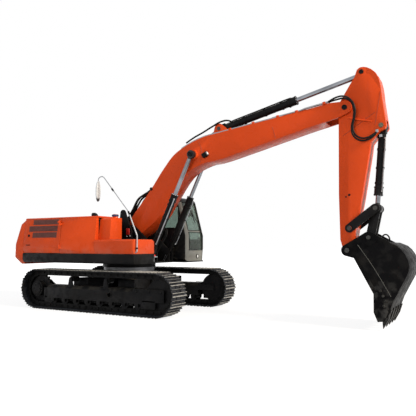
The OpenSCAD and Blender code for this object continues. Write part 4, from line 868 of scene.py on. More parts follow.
class EXCAVATOR_OT_shells(bpy.types.Operator):
    """Stand copies with rounded edges in for the frame's plate and cast pieces"""

    bl_idname = "excavator.shells"
    bl_label = "Rounded shells"

    def execute(self, context):
        for node, width in (
                ("right_panel", 0.006), ("left_panel", 0.006), ("right_deck", 0.010),
                ("left_deck", 0.010), ("fuel_tank", 0.014), ("tool_box", 0.012), ("engine_hood", 0.012),
                ("center_cover", 0.006), ("skirts", 0.006), ("boom", 0.009), ("stick", 0.009),
                ("cab_roof", 0.014), ("cab_door", 0.006), ("boom_lamp", 0.014), ("turntable", 0.006),
                ("carbody", 0.010),
                ("track_frames", 0.008), ("rockers", 0.007), ("bucket_link", 0.007), ("bucket", 0.007),
                ("bucket_teeth", 0.006), ("consoles", 0.016), ("pump_door", 0.005), ("cooler_door", 0.005)):
            softened(node, width)
        softened("counterweight", 0.075, None, 5)
        softened("cab_frame", 0.006, "cab_two_tone")
        softened("mirrors", 0.010, "mirror_shell")
        return {"FINISHED"}


class EXCAVATOR_OT_house(bpy.types.Operator):
    """Louvres, locks, filler, exhaust, mirror, lamps, grips, valve block and foot pins of the house"""

    bl_idname = "excavator.house"
    bl_label = "House trim"

    def execute(self, context):
        for facing, door in ((RIGHT, "pump_door"), (LEFT, "cooler_door")):
            self.louvres(facing, door)
            self.locks(facing, door)
        self.filler()
        self.exhaust()
        self.mirror()
        self.tail()
        self.decks()
        self.valves()
        self.feet()
        return {"FINISHED"}

    def louvres(self, facing, door):
        """A grille with fine upright bars over each of the three rows of slots, in a dark brown that is
        painted shade of the slots.
        """
        length, rows = DOOR - TAIL, []
        back, sheet, proud = -facing * 0.003, facing * 0.003, facing * 0.009
        for first, last, bottom, top in ((0.235, 0.930, 0.835, 0.984), (0.130, 0.910, 0.633, 0.803),
                                         (0.242, 0.902, 0.452, 0.611)):
            z = SILL + bottom * (SHOULDER - SILL)
            tall, run = (top - bottom) * (SHOULDER - SILL), (last - first) * length
            count = round(run / 0.031)
            plate = block((0, min(back, sheet), 0), (run, max(back, sheet), tall), 0.002, 1)
            bar = block((0.008, min(sheet, proud), 0.008), (0.020, max(sheet, proud), tall - 0.008),
                        0.002, 1)
            bars = copies(bar, [Matrix.Translation((k * run / count, 0, 0)) for k in range(count)])
            grille = joined([plate, bars])
            grille.data.transform(Matrix.Translation((TAIL + first * length, facing * side_at(z), z))
                                  @ Matrix.Rotation(facing * LEAN, 4, "X"))
            rows.append(grille)
        # The grille's dark brown sheet and bars are painted shade of the louvre slots
        shown(joined(rows), door + "_louvres", door, "black_plastic", "vent_shade_mesh")

    def locks(self, facing, door):
        """A round lock and a pull on the engine door."""
        out = Vector((0, facing, math.tan(LEAN))).normalized()
        spot = Vector((-2.435, facing * side_at(1.984), 1.984))
        low = Vector((-2.50, facing * side_at(1.72), 1.72))
        lock = disc(spot - out * 0.004, out, 0.036, 0.016, 0.28, -0.006)
        bow = ((0.0, 0.0), (0.02, 0.035), (0.12, 0.035), (0.14, 0.0))
        pull = tube([low + X * along + out * lift for along, lift in bow], 0.009)
        shown(joined([lock, pull]), door + "_lock", door, "black_plastic")

    def filler(self):
        """Blue filler cap with grip ribs on the tank's neck."""
        neck = Vector((0.3136, -1.0043, 2.470))
        cap = disc(neck, Z, 0.084, 0.05, 0.22, 0.010)
        rib = block((0.080, -0.008, 0.006), (0.090, 0.008, 0.042), 0.002, 1)
        count = 14
        ribs = copies(rib, [Matrix.Translation(neck) @ Matrix.Rotation(math.tau * k / count, 4, "Z")
                            for k in range(count)])
        shown(joined([cap, ribs]), "filler_cap", "house", "black_plastic", "blue_plastic")

    def exhaust(self):
        """The stack as a bent pipe with an open end and a collar."""
        low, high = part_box("exhaust")
        x, y, radius = (low[0] + high[0]) / 2, (low[1] + high[1]) / 2, (high[0] - low[0]) / 2
        pipe = tube([(x, y, low[2] - 0.005), (x, y, low[2] + 0.05), (x - 0.035, y, low[2] + 0.098),
                     (x - 0.14, y, low[2] + 0.112)], radius * 0.95, 6, 8)
        edit(pipe, lambda place, normal: normal.x < -0.8 and place.x < x - 0.13)
        bpy.ops.mesh.inset(thickness=0.008)
        bpy.ops.mesh.extrude_region_move(TRANSFORM_OT_translate={"value": (0.08, 0, -0.01)})
        clear()
        collar = ring((x, y, low[2] + 0.014), Z, radius * 0.85, radius * 1.3, 0.028)
        shown(joined([pipe, collar]), "exhaust_bend", "house", "black_paint")
        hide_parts("exhaust")

    def mirror(self):
        """Glass behind the mirror's shell, and the clamps on its stay."""
        low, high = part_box("mirrors")
        spot = middle("mirrors")
        glass = disc((0, 0, 0), -X, (high[2] - low[2]) / 2 - 0.022, 0.006, 0.05)
        glass.scale = (1, 0.25, 1)
        glass.location = (low[0], spot.y, spot.z)
        shown(glass, "mirror_glass", "house", "cab_glazing", "mirror_glass")
        y = spot.y
        sleeves = [tube([(1.135, y, 2.470), (1.088, y, 2.556)], 0.025, 4, 2, False),
                   tube([(0.600, y, 3.095), (0.545, y, 3.156)], 0.022, 4, 2, False),
                   tube([(1.375, y, 1.62), (1.375, y, 1.66)], 0.026, 4, 2, False)]
        heads = bolts([(1.110, y - 0.022, 2.515), (0.572, y - 0.02, 3.127)], -Y, 0.012)
        shown(joined(sleeves + [heads]), "stay_clamps", "house", "galvanized", "black_plastic")

    def tail(self):
        """Lifting sockets, plugs and rear lamps of the counterweight."""
        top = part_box("counterweight")[1][2]
        sockets = [disc((-2.90, side * 0.72, top - 0.004), Z, 0.075, 0.010, 0.3, -0.006) for side in SIDES]
        shown(joined(sockets), "lifting_sockets", "house", "black_paint")
        y, back = 0.45, tail_at(0.45)
        plugs = [disc((back + 0.01, side * y, 1.62), -X, 0.065, 0.022, 0.2, -0.008) for side in SIDES]
        shown(joined(plugs), "counterweight_plugs", "house", "black_plastic")
        y, back = 1.02, tail_at(1.02)
        cases = [block((back - 0.012, side * y - 0.11, 1.90), (back + 0.09, side * y + 0.11, 1.99), 0.012)
                 for side in SIDES]
        shown(joined(cases), "rear_lamp_cases", "house", "black_plastic")
        lenses = [block((back - 0.018, side * y - 0.095, 1.912), (back, side * y + 0.095, 1.978), 0.005)
                  for side in SIDES]
        shown(joined(lenses), "rear_lamp_lenses", "house", "cab_glazing", "red_lens")

    def decks(self):
        """Grip plates, hood handles and the bolts that hold the covers."""
        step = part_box("tool_box")[1][2]
        plates = [block((-1.13, -0.30, 2.478), (-0.57, 0.66, 2.486), 0.002, 1),
                  block((0.47, -1.39, step - 0.002), (1.22, -0.76, step + 0.006), 0.002, 1)]
        shown(joined(plates), "grip_plates", "house", "black_paint", "grip_plate")
        cover = 2.479
        heads = bolts([(x, y, cover) for x in (-1.15, -0.86, -0.55) for y in (-0.66, 0.68)], Z, 0.011)
        front = bolts([(-0.56, 0.2 * k - 0.5, cover) for k in range(6)], Z, 0.011)
        shown(joined([heads, front]), "cover_bolts", "house", "galvanized")
        top = 2.51
        bow = ((-2.50, -0.008), (-2.49, 0.012), (-2.39, 0.012), (-2.38, -0.008))
        grips = [tube([(x, side * 0.5, top + lift) for x, lift in bow], 0.008) for side in SIDES]
        shown(joined(grips), "hood_handles", "engine_hood", "black_plastic")
        # The vent ribs' dark brown is painted shade of the vent slots
        ribs = [block((x, -0.52, top - 0.004), (x + 0.05, 0.36, top + 0.006), 0.003, 1)
                for x in (-2.25, -2.05, -1.85, -1.65, -1.45)]
        shown(joined(ribs), "hood_vents", "engine_hood", "black_plastic", "vent_shade_mesh")
        low, high, inner = 1.86, 2.43, -1.330
        outer_low, outer_high = 0.004 - side_at(low), 0.004 - side_at(high)
        corners = ((outer_low, low), (inner, low), (inner, high), (outer_high, high))
        closing = panel([(0.039, y, z) for y, z in corners], 0.010, 0.002)
        shown(closing, "panel_end", "house", "orange_paint")

    def valves(self):
        """Control valve and slew motor behind the boom's foot, and a bracket with a lamp under the nose."""
        body = block((-0.46, -0.22, 1.275), (-0.06, 0.22, 1.62), 0.012)
        spools = [disc((-0.06, -0.165 + 0.066 * k, z), X, 0.026, 0.06, 0.2, 0.012, 16)
                  for k in range(6) for z in (1.38, 1.50)]
        shown(joined([body] + spools), "control_valve", "house", "bare_steel")
        foot = Vector((-0.30, 0.34, 1.275))
        motor = disc(foot, Z, 0.10, 0.34, 0.25, 0.05)
        flange = disc(foot, Z, 0.13, 0.06, 0.1)
        ring_bolts = bolts(circle(foot + Z * 0.058, X, Y, 0.115, 8), Z, 0.010)
        shown(joined([motor, flange, ring_bolts]), "slew_motor", "house", "black_paint")
        arm = joined([block((1.20, -0.64, 1.275), (1.23, -0.50, 1.43), 0.004),
                      block((1.20, -0.64, 1.40), (1.33, -0.50, 1.43), 0.004)])
        shown(arm, "lamp_bracket", "house", "galvanized")
        lamp = disc((1.27, -0.57, 1.43), Z, 0.035, 0.03, 0.2, 0.010)
        shown(lamp, "bracket_lamp", "house", "black_plastic", "red_paint")

    def feet(self):
        """Retainers on the boom's foot pin and caps on the lower cylinder pins."""
        plate = 0.474
        low, high = Vector((-0.058, -0.012, -0.085)), Vector((0.058, 0.012, 0.095))
        retainers, heads = [], []
        for side in SIDES:
            end = BOOM[0] + Y * side * plate
            spots = [end + X * dx + Z * dz for dx, dz in ((-0.035, -0.125), (0.075, -0.115))]
            retainers.append(block(end + low, end + high, 0.040, 4))
            heads.append(bolts(spots, Y * side, 0.020))
        shown(joined(retainers), "foot_pin_retainers", "house", "galvanized", "red_paint")
        shown(joined(heads), "foot_pin_bolts", "house", "galvanized")
        caps = pin_caps(CYLINDER_FOOT, face("boom_barrels", LEFT), 0.062, 0.018)
        shown(caps, "cylinder_foot_caps", "house", "galvanized")


class EXCAVATOR_OT_cab(bpy.types.Operator):
    """Gaskets, front lamp, wiper, visor, handles and controls of the cab"""

    bl_idname = "excavator.cab"
    bl_label = "Cab trim"

    def execute(self, context):
        self.gaskets()
        self.front()
        self.handles()
        self.controls()
        return {"FINISHED"}

    def gaskets(self):
        """Rubber round each pane."""
        low_y, high_y = CAB_RIGHT + 0.102, CAB_LEFT - 0.102
        loops = []
        for bottom, top in ((1.583, 2.081), (2.134, 2.935)):
            heights = [bottom] + ([CAB_BEND.z] if bottom < CAB_BEND.z < top else []) + [top]
            loops.append([(cab_front(z) + 0.002, low_y, z) for z in heights]
                         + [(cab_front(z) + 0.002, high_y, z) for z in reversed(heights)])
        loops.append(cab_loop(CAB_RIGHT, ((0.52, 0.52), (0.91, 0.52), (0.80, 0.90), (0.52, 0.90))))
        for y in (CAB_RIGHT, CAB_LEFT):
            loops.append(cab_loop(y, ((0.10, 0.42), (0.46, 0.42), (0.46, 0.90), (0.10, 0.90))))
        rear = ((low_y, 2.028), (high_y, 2.028), (high_y, 2.846), (low_y, 2.846))
        loops.append([(CAB_REAR - 0.002, y, z) for y, z in rear])
        made = [tube(points, 0.012, 2, 2, False, True) for points in loops]
        shown(joined(made), "window_gaskets", "house", "black_plastic")
        door = ((0.53, 0.34), (0.93, 0.34), (0.925, 0.42), (0.785, 0.885), (0.53, 0.885))
        edge = cab_loop(CAB_LEFT, door)
        shown(tube(edge, 0.011, 2, 2, False, True), "door_gasket", "cab_door", "black_plastic")

    def front(self):
        """Lamp in the lower panel, wiper on the upper pane, visor behind it and a hatch in the roof."""
        z = 1.407
        spot = Vector((CAB_BEND.x - (1.618 - z) * 0.074 - 0.004, 1.059, z))
        shown(disc(spot, X, 0.062, 0.022, 0.22, -0.010), "front_lamp_case", "house", "black_plastic")
        lens = disc(spot + X * 0.010, X, 0.044, 0.010, 0.3, 0.004)
        shown(lens, "front_lamp_lens", "house", "cab_glazing", "lamp_lens")
        arm = [before_cab(0.015, 1.24, 2.11), before_cab(0.040, 1.12, 2.40), before_cab(0.020, 0.99, 2.62)]
        blade = [before_cab(0.010, y, z) for y, z in ((1.06, 2.34), (0.99, 2.62), (0.93, 2.86))]
        made = [tube(arm, 0.009, 3, 5), tube(blade, 0.010, 3, 4)]
        made.append(disc(arm[0] - X * 0.02, X, 0.028, 0.03, 0.25))
        shown(joined(made), "wiper", "house", "black_plastic")
        corners = ((0.74, 2.53), (1.20, 2.53), (1.20, 2.75), (0.74, 2.75))
        visor = panel([before_cab(-0.050, y, z) for y, z in corners], 0.012)
        shown(visor, "sun_visor", "house", "black_plastic", "grey_trim")
        hatch = block((0.42, 0.69, 3.05), (1.02, 1.235, 3.082), 0.012)
        edit(hatch, lambda place, normal: normal.z > FACING)
        bpy.ops.mesh.inset(thickness=0.05)
        bpy.ops.transform.translate(value=(0, 0, -0.010))
        clear()
        shown(hatch, "roof_hatch", "house", "cab_paint")

    def handles(self):
        """Door handle and a grab rail behind the door."""
        grip = block((1.37, CAB_LEFT - 0.004, 1.905), (1.50, CAB_LEFT + 0.022, 1.945), 0.008)
        lock = disc((1.50, CAB_LEFT - 0.004, 1.86), Y, 0.022, 0.014, 0.3)
        shown(joined([grip, lock]), "door_handle", "cab_door", "black_plastic")
        bow = ((-0.01, 1.50), (0.05, 1.53), (0.05, 1.93), (-0.01, 1.96))
        rail = tube([(0.06, CAB_LEFT + out, z) for out, z in bow], 0.014)
        shown(rail, "grab_rail", "house", "galvanized", "black_plastic")

    def controls(self):
        """Joystick knobs, travel levers, pedals and a monitor."""
        low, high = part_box("consoles")
        knobs = []
        for y in (low[1] + 0.065, high[1] - 0.065):
            knob = disc((0.754, y, high[2] - 0.02), Z, 0.030, 0.12, 0.3, 0.012, 20)
            boot = disc((0.754, y, high[2] - 0.20), Z, 0.055, 0.06, 0.45, 0.02, 20)
            knobs += [knob, boot]
        for y in (0.90, 1.02):
            knobs.append(tube([(1.10, y, 1.37), (1.16, y, 1.60), (1.14, y, 1.95)], 0.011))
            knobs.append(disc((1.14, y, 1.95), Z, 0.026, 0.06, 0.3, 0.01, 16))
            pedal = ((1.20, -0.05, 1.40), (1.34, -0.05, 1.47), (1.34, 0.05, 1.47), (1.20, 0.05, 1.40))
            knobs.append(panel([(x, y + dy, z) for x, dy, z in pedal], 0.014))
        screen = block((1.25, 0.60, 2.02), (1.29, 0.80, 2.17), 0.010)
        stalk = tube([(1.27, 0.575, 1.80), (1.27, 0.60, 1.95), (1.27, 0.68, 2.05)], 0.014)
        shown(joined(knobs + [screen, stalk]), "cab_controls", "house", "black_plastic")


class EXCAVATOR_OT_seat(bpy.types.Operator):
    """Padded seat: cushion, back and headrest under pressure as cloth, with piping and a pedestal"""

    bl_idname = "excavator.seat"
    bl_label = "Seat"

    def execute(self, context):
        y = middle("seat").y
        back = Matrix.Translation((0.447, y, 1.785)) @ Matrix.Rotation(math.radians(-11.4), 4, "Y")
        level = Matrix.Translation((0.614, y, 1.672))
        cushion = self.pad(context, (-0.235, -0.235, 0.0), (0.235, 0.235, 0.095), level, "seat_cushion", 2)
        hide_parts("seat")
        self.pad(context, (-0.040, -0.225, 0.02), (0.040, 0.225, 0.60), back, "seat_back", 0)
        self.pad(context, (-0.032, -0.125, 0.64), (0.032, 0.125, 0.80), back, "seat_headrest", 0)
        made = [block((0.46, y - 0.18, 1.365), (0.76, y + 0.18, 1.45), 0.02),
                block((0.42, y - 0.21, 1.60), (0.82, y + 0.21, 1.675), 0.02)]
        fold = 0.025
        for k in range(6):
            wide, z = 0.012 * (k % 2), 1.45 + fold * k
            low, high = (0.48 - wide, y - 0.17 - wide, z), (0.74 + wide, y + 0.17 + wide, z + fold)
            made.append(block(low, high, 0.008))
        for side in SIDES:
            post = [back @ Vector((0, side * 0.06, height)) for height in (0.55, 0.70)]
            made.append(tube(post, 0.008, 2, 2, False))
        shown(joined(made), "seat_pedestal", "house", "black_plastic")
        return {"FINISHED"}

    def pad(self, context, low, high, place, name, up):
        """A pad that swells from a rounded block; sewn channels run across its wide face."""
        piece = block(low, high, min(b - a for a, b in zip(low, high)) * 0.30, 3)
        select(piece)
        remesh = piece.modifiers.new("Voxels", "REMESH")
        remesh.mode, remesh.voxel_size = "VOXEL", 0.010
        bpy.ops.object.modifier_apply(modifier=remesh.name)
        self.swell(context, piece)
        self.channels(piece, low, high, up)
        smooth = piece.modifiers.new("Smooth", "SUBSURF")
        smooth.levels = 1
        bpy.ops.object.modifier_apply(modifier=smooth.name)
        piece.data.transform(place)
        shown(piece, name, "house", "seat_cloth")
        self.piping(low, high, place, name, up)
        return piece

    def swell(self, context, piece):
        """Cloth under pressure for a few steps, with each point's travel capped."""
        steps, limit = 20, 0.014
        rest = [vertex.co.copy() for vertex in piece.data.vertices]
        cloth = piece.modifiers.new("Cloth", "CLOTH")
        cloth.settings.use_pressure = True
        cloth.settings.uniform_pressure_force = 4.0
        cloth.settings.effector_weights.gravity = 0.0
        for step in range(1, steps + 1):
            context.scene.frame_set(step)
        bpy.ops.object.modifier_apply(modifier=cloth.name)
        context.scene.frame_set(1)
        for vertex, start in zip(piece.data.vertices, rest):
            travel = vertex.co - start
            if travel.length > limit:
                vertex.co = start + travel.normalized() * limit

    def channels(self, piece, low, high, up):
        """Grooves sewn across the face that is sat on."""
        along = 0 if up == 2 else 2
        depth, spread = 0.010, 0.018
        half_way = (low[up] + high[up]) / 2
        for vertex in piece.data.vertices:
            share = (vertex.co[along] - low[along]) / (high[along] - low[along])
            if vertex.co[up] > half_way:
                for seam in (0.28, 0.52, 0.76):
                    vertex.co[up] -= depth * math.exp(-((share - seam) / spread) ** 2)

    def piping(self, low, high, place, name, up):
        """A welt round the pad's edge."""
        first, second = [axis for axis in range(3) if axis != up]
        grow, corner = 0.010, 0.03
        points = []
        for a, b in ((0, 0), (1, 0), (1, 1), (0, 1)):
            for step in ((0, 1) if (a + b) % 2 == 0 else (1, 0)):
                point = (Vector(low) + Vector(high)) / 2
                shift = (corner, 0.0) if step else (0.0, corner)
                for axis, end, inwards in ((first, a, shift[0]), (second, b, shift[1])):
                    point[axis] = (low, high)[end][axis] + (grow - inwards) * (1 if end else -1)
                points.append(place @ point)
        welt = tube(points, 0.006, 2, 5, True, True)
        shown(welt, name + "_piping", "house", "seat_cloth", "black_plastic")


class EXCAVATOR_OT_arm(bpy.types.Operator):
    """Pin caps, seams, clamps and lamp on the boom, stick, linkage and bucket"""

    bl_idname = "excavator.arm"
    bl_label = "Arm trim"

    def execute(self, context):
        for name, body, place, reach, radius, height, slot, finish in (
                ("boom_tip_caps", "boom", BOOM[1], 0.259, 0.058, 0.026, "black_paint", "black_paint"),
                ("stick_base_caps", "boom", STICK_BASE, 0.137, 0.050, 0.022, "bare_steel", "pin_steel"),
                ("stick_tail_caps", "stick", STICK_TAIL, 0.199, 0.050, 0.026, "black_paint", "black_paint"),
                ("rocker_caps", "stick", ROCKER_PIN, 0.245, 0.048, 0.018, "bare_steel", "pin_steel"),
                ("link_eye_caps", "rockers", LINK_EYE, 0.245, 0.048, 0.004, "bare_steel", "pin_steel"),
                ("link_caps", "bucket", LINK_PIN, 0.301, 0.044, 0.018, "bare_steel", "pin_steel"),
                ("bucket_caps", "bucket", STICK[1], 0.301, 0.052, 0.018, "bare_steel", "pin_steel"),
                ("bucket_base_caps", "stick", BUCKET_BASE, 0.199, 0.052, 0.022, "galvanized", "brass"),
                ("rod_pin_caps", "boom_rods", ROD_PIN, face("boom_rods", LEFT) - 0.001, 0.058, 0.020,
                 "black_paint", "black_paint")):
            shown(pin_caps(place, reach, radius, height), name, body, slot, finish)
        self.seams()
        self.round_back()
        self.clamps()
        self.lamp()
        self.bucket()
        return {"FINISHED"}

    def seams(self):
        """Weld beads across the boom's and stick's sides, in darker paint that is painted shade along them,
        and plugs on the stick.
        """
        boom_runs = (((2.423, 4.400), (2.487, 4.258), (2.525, 4.090), (2.504, 3.946), (2.483, 3.840)),
                     ((4.478, 4.525), (4.556, 4.250)))
        stick_runs = (((6.960, 5.020), (6.832, 4.300)), ((6.139, 4.136), (6.839, 4.584)))
        for body, reach, runs in (("boom", 0.260, boom_runs), ("stick", 0.200, stick_runs)):
            beads = [tube(at_side(run, side * reach), 0.006, 2, 3) for side in SIDES for run in runs]
            # The beads take the darkened seam finish, which is painted shade along the welds
            shown(joined(beads), body + "_seams", body, "orange_paint", "seam_shade_paint")
        plugs = [disc((x, side * 0.198, z), Y * side, size, 0.010, 0.3, 0, 16) for side in SIDES
                 for x, z, size in ((6.250, 2.814, 0.026), (6.177, 2.774, 0.018))]
        shown(joined(plugs), "stick_plugs", "stick", "black_paint")

    def round_back(self):
        """The stick's head carried out to a round back, open in the middle for the rod's eye."""
        arc = [(6.600, 5.632), (6.685, 5.606), (6.778, 5.549), (6.870, 5.456), (6.929, 5.334),
               (6.965, 5.172), (6.981, 5.020), (6.9875, 4.920), (6.950, 4.900)]
        cheek = arc + [(6.700, 5.350), (6.575, 5.520)]
        core = arc[4:] + [(6.745, 5.300)]
        pieces = [sheet_cut(cheek, low, low + 0.120, 0.006) for low in (-0.199, 0.079)]
        pieces.append(sheet_cut(core, -0.085, 0.085, 0.003))
        shown(joined(pieces), "stick_round_back", "stick", "orange_paint")

    def clamps(self):
        """Clamps over the boom's pipes, and the pipes' runs on to the boom's tip."""
        turn = turn_to_line((on(BOOM, 0.5617, 0.1672), on(BOOM, 0.8597, 0.0723)))
        straps, heads = [], []
        for along, across, centre, half in ((0.585, 0.1598, 0.196, 0.055), (0.68, 0.1296, 0.196, 0.055),
                                            (0.775, 0.0993, 0.196, 0.055), (0.845, 0.0770, 0.196, 0.055),
                                            (0.945, 0.0475, 0.250, 0.041)):
            place = Matrix.Translation(on(BOOM, along, across)) @ turn
            for side in SIDES:
                y = side * centre
                strap = block((-0.035, y - half, -0.01), (0.035, y + half, 0.052), 0.006)
                straps.append(copies(strap, [place]))
                heads.append(place @ Matrix.Translation((0, y, 0.051)))
        shown(joined(straps), "pipe_clamps", "boom", "orange_paint")
        shown(copies(bolt(0.014), heads), "pipe_clamp_bolts", "boom", "galvanized")
        runs = []
        for side in SIDES:
            for inner, outer in zip(PIPE_INNER, PIPE_OUTER):
                steps = ((0.755, 0.1057, inner), (0.8400, 0.0786, inner), (0.8597, 0.0723, inner),
                         (0.8800, 0.0664, outer), (0.9000, 0.0606, outer), (0.952, 0.0455, outer))
                line = [on(BOOM, a, b + 0.0045, side * y) for a, b, y in steps]
                runs.append(tube(line + [(5.865, side * outer, 4.944)], 0.017, 3, 4))
        shown(joined(runs), "boom_pipe_ends", "boom", "galvanized")

    def lamp(self):
        """Lens and bezel on the boom's lamp."""
        along = axes(*BOOM)[0]
        spot = middle("boom_lamp") + along * 0.070
        shown(disc(spot, along, 0.052, 0.016, 0.2, -0.006), "boom_lamp_bezel", "boom", "galvanized")
        lens = disc(spot + along * 0.008, along, 0.042, 0.012, 0.3, 0.006)
        shown(lens, "boom_lamp_lens", "boom", "cab_glazing", "lamp_lens")

    def bucket(self):
        """Bolts on the side cutters, a bead along each side and a lifting eye."""
        reach = face("bucket", LEFT) - 0.001
        spots = ((6.96, 0.80), (7.01, 0.70), (7.06, 0.60), (7.02, 0.50))
        heads = [bolts(at_side(spots, side * reach), Y * side, 0.024) for side in SIDES]
        shown(joined(heads), "cutter_bolts", "bucket", "worn_steel")
        run = ((6.527, 1.720), (6.842, 1.250), (7.157, 0.689))
        beads = [tube(at_side(run, side * 0.711), 0.007, 2, 3) for side in SIDES]
        shown(joined(beads), "side_beads", "bucket", "worn_steel", "pin_steel")
        mesh = frame["nodes"]["bucket"].data
        corners = [vertex.co for vertex in mesh.vertices]
        shell = BVHTree.FromPolygons(corners, [polygon.vertices for polygon in mesh.polygons])
        seat = shell.ray_cast(Vector((6.96, 0.0, 3.0)), -Z)[0]
        bow = ((-0.075, -0.02), (-0.065, 0.045), (0.0, 0.080), (0.065, 0.020), (0.075, -0.07))
        eye = [seat + X * dx + Z * dz for dx, dz in bow]
        shown(tube(eye, 0.016, 3, 6), "bucket_eye", "bucket", "bucket_steel")


class EXCAVATOR_OT_cylinders(bpy.types.Operator):
    """Bands, glands and side pipes of the cylinders"""

    bl_idname = "excavator.cylinders"
    bl_label = "Cylinders"

    def execute(self, context):
        for facing, name in ((RIGHT, "right_boom_cylinder"), (LEFT, "left_boom_cylinder")):
            self.dress("boom_barrels", name, CYLINDER_FOOT, ROD_PIN, facing * 0.388, 1.64, 0.082,
                       (-0.7, facing * 0.7), 0.26)
        self.dress("stick_barrel", "stick_cylinder", STICK_BASE, STICK_TAIL, 0.0, 2.10, 0.092,
                   (0.6, -0.8), 0.36, "black_paint")
        length = (LINK_EYE - BUCKET_BASE).length - 0.287
        self.dress("bucket_barrel", "bucket_cylinder", BUCKET_BASE, LINK_EYE, 0.0, length, 0.082,
                   (0.75, -0.66), 0.26, "bare_steel")
        return {"FINISHED"}

    def dress(self, body, name, base, eye, y, length, radius, lean, start, finish="galvanized"):
        """Clips, end rings, gland bolts and the oil pipe on one barrel."""
        along, across = axes(base, eye)
        out = across * lean[0] + Y * lean[1]

        def at(far):
            return base + along * far + Y * y

        spots = [at(share * length) for share in (0.33, 0.60, 0.82)]
        bands = [ring(spot, along, radius * 0.99, radius + 0.010, 0.045) for spot in spots]
        clip = Vector((0.020, 0.020, 0.020))
        seats = [spot + out * (radius + 0.022) for spot in spots]
        bands += [block(seat - clip, seat + clip, 0.008) for seat in seats]
        bands.append(ring(at(length - 2.15 * radius), along, radius, radius * 1.24, 0.032))
        bands.append(ring(at(length - 0.012), along, radius * 0.72, radius * 1.22, 0.03))
        shown(joined(bands), name + "_bands", body, "black_paint")
        square = along.cross(out).normalized()
        heads = circle(at(length + 0.002), out, square, radius * 0.96, 8)
        shown(bolts(heads, along, 0.010), name + "_gland_bolts", body, "galvanized")
        end = length - 1.2 * radius
        sunk, lift = radius * 0.9, radius + 0.032
        steps = ((start, sunk), (start + 0.012, lift - 0.006), (start + 0.05, lift),
                 ((start + end) / 2, lift),
                 (end - 0.05, lift), (end - 0.012, lift - 0.006), (end, sunk))
        made = [tube([at(far) + out * height for far, height in steps], 0.014, 3, 6)]
        for far in (start, end):
            made.append(tube([at(far) + out * sunk, at(far) + out * (radius + 0.030)], 0.022, 3, 2, False))
        shown(joined(made), name + "_pipe", body, finish)


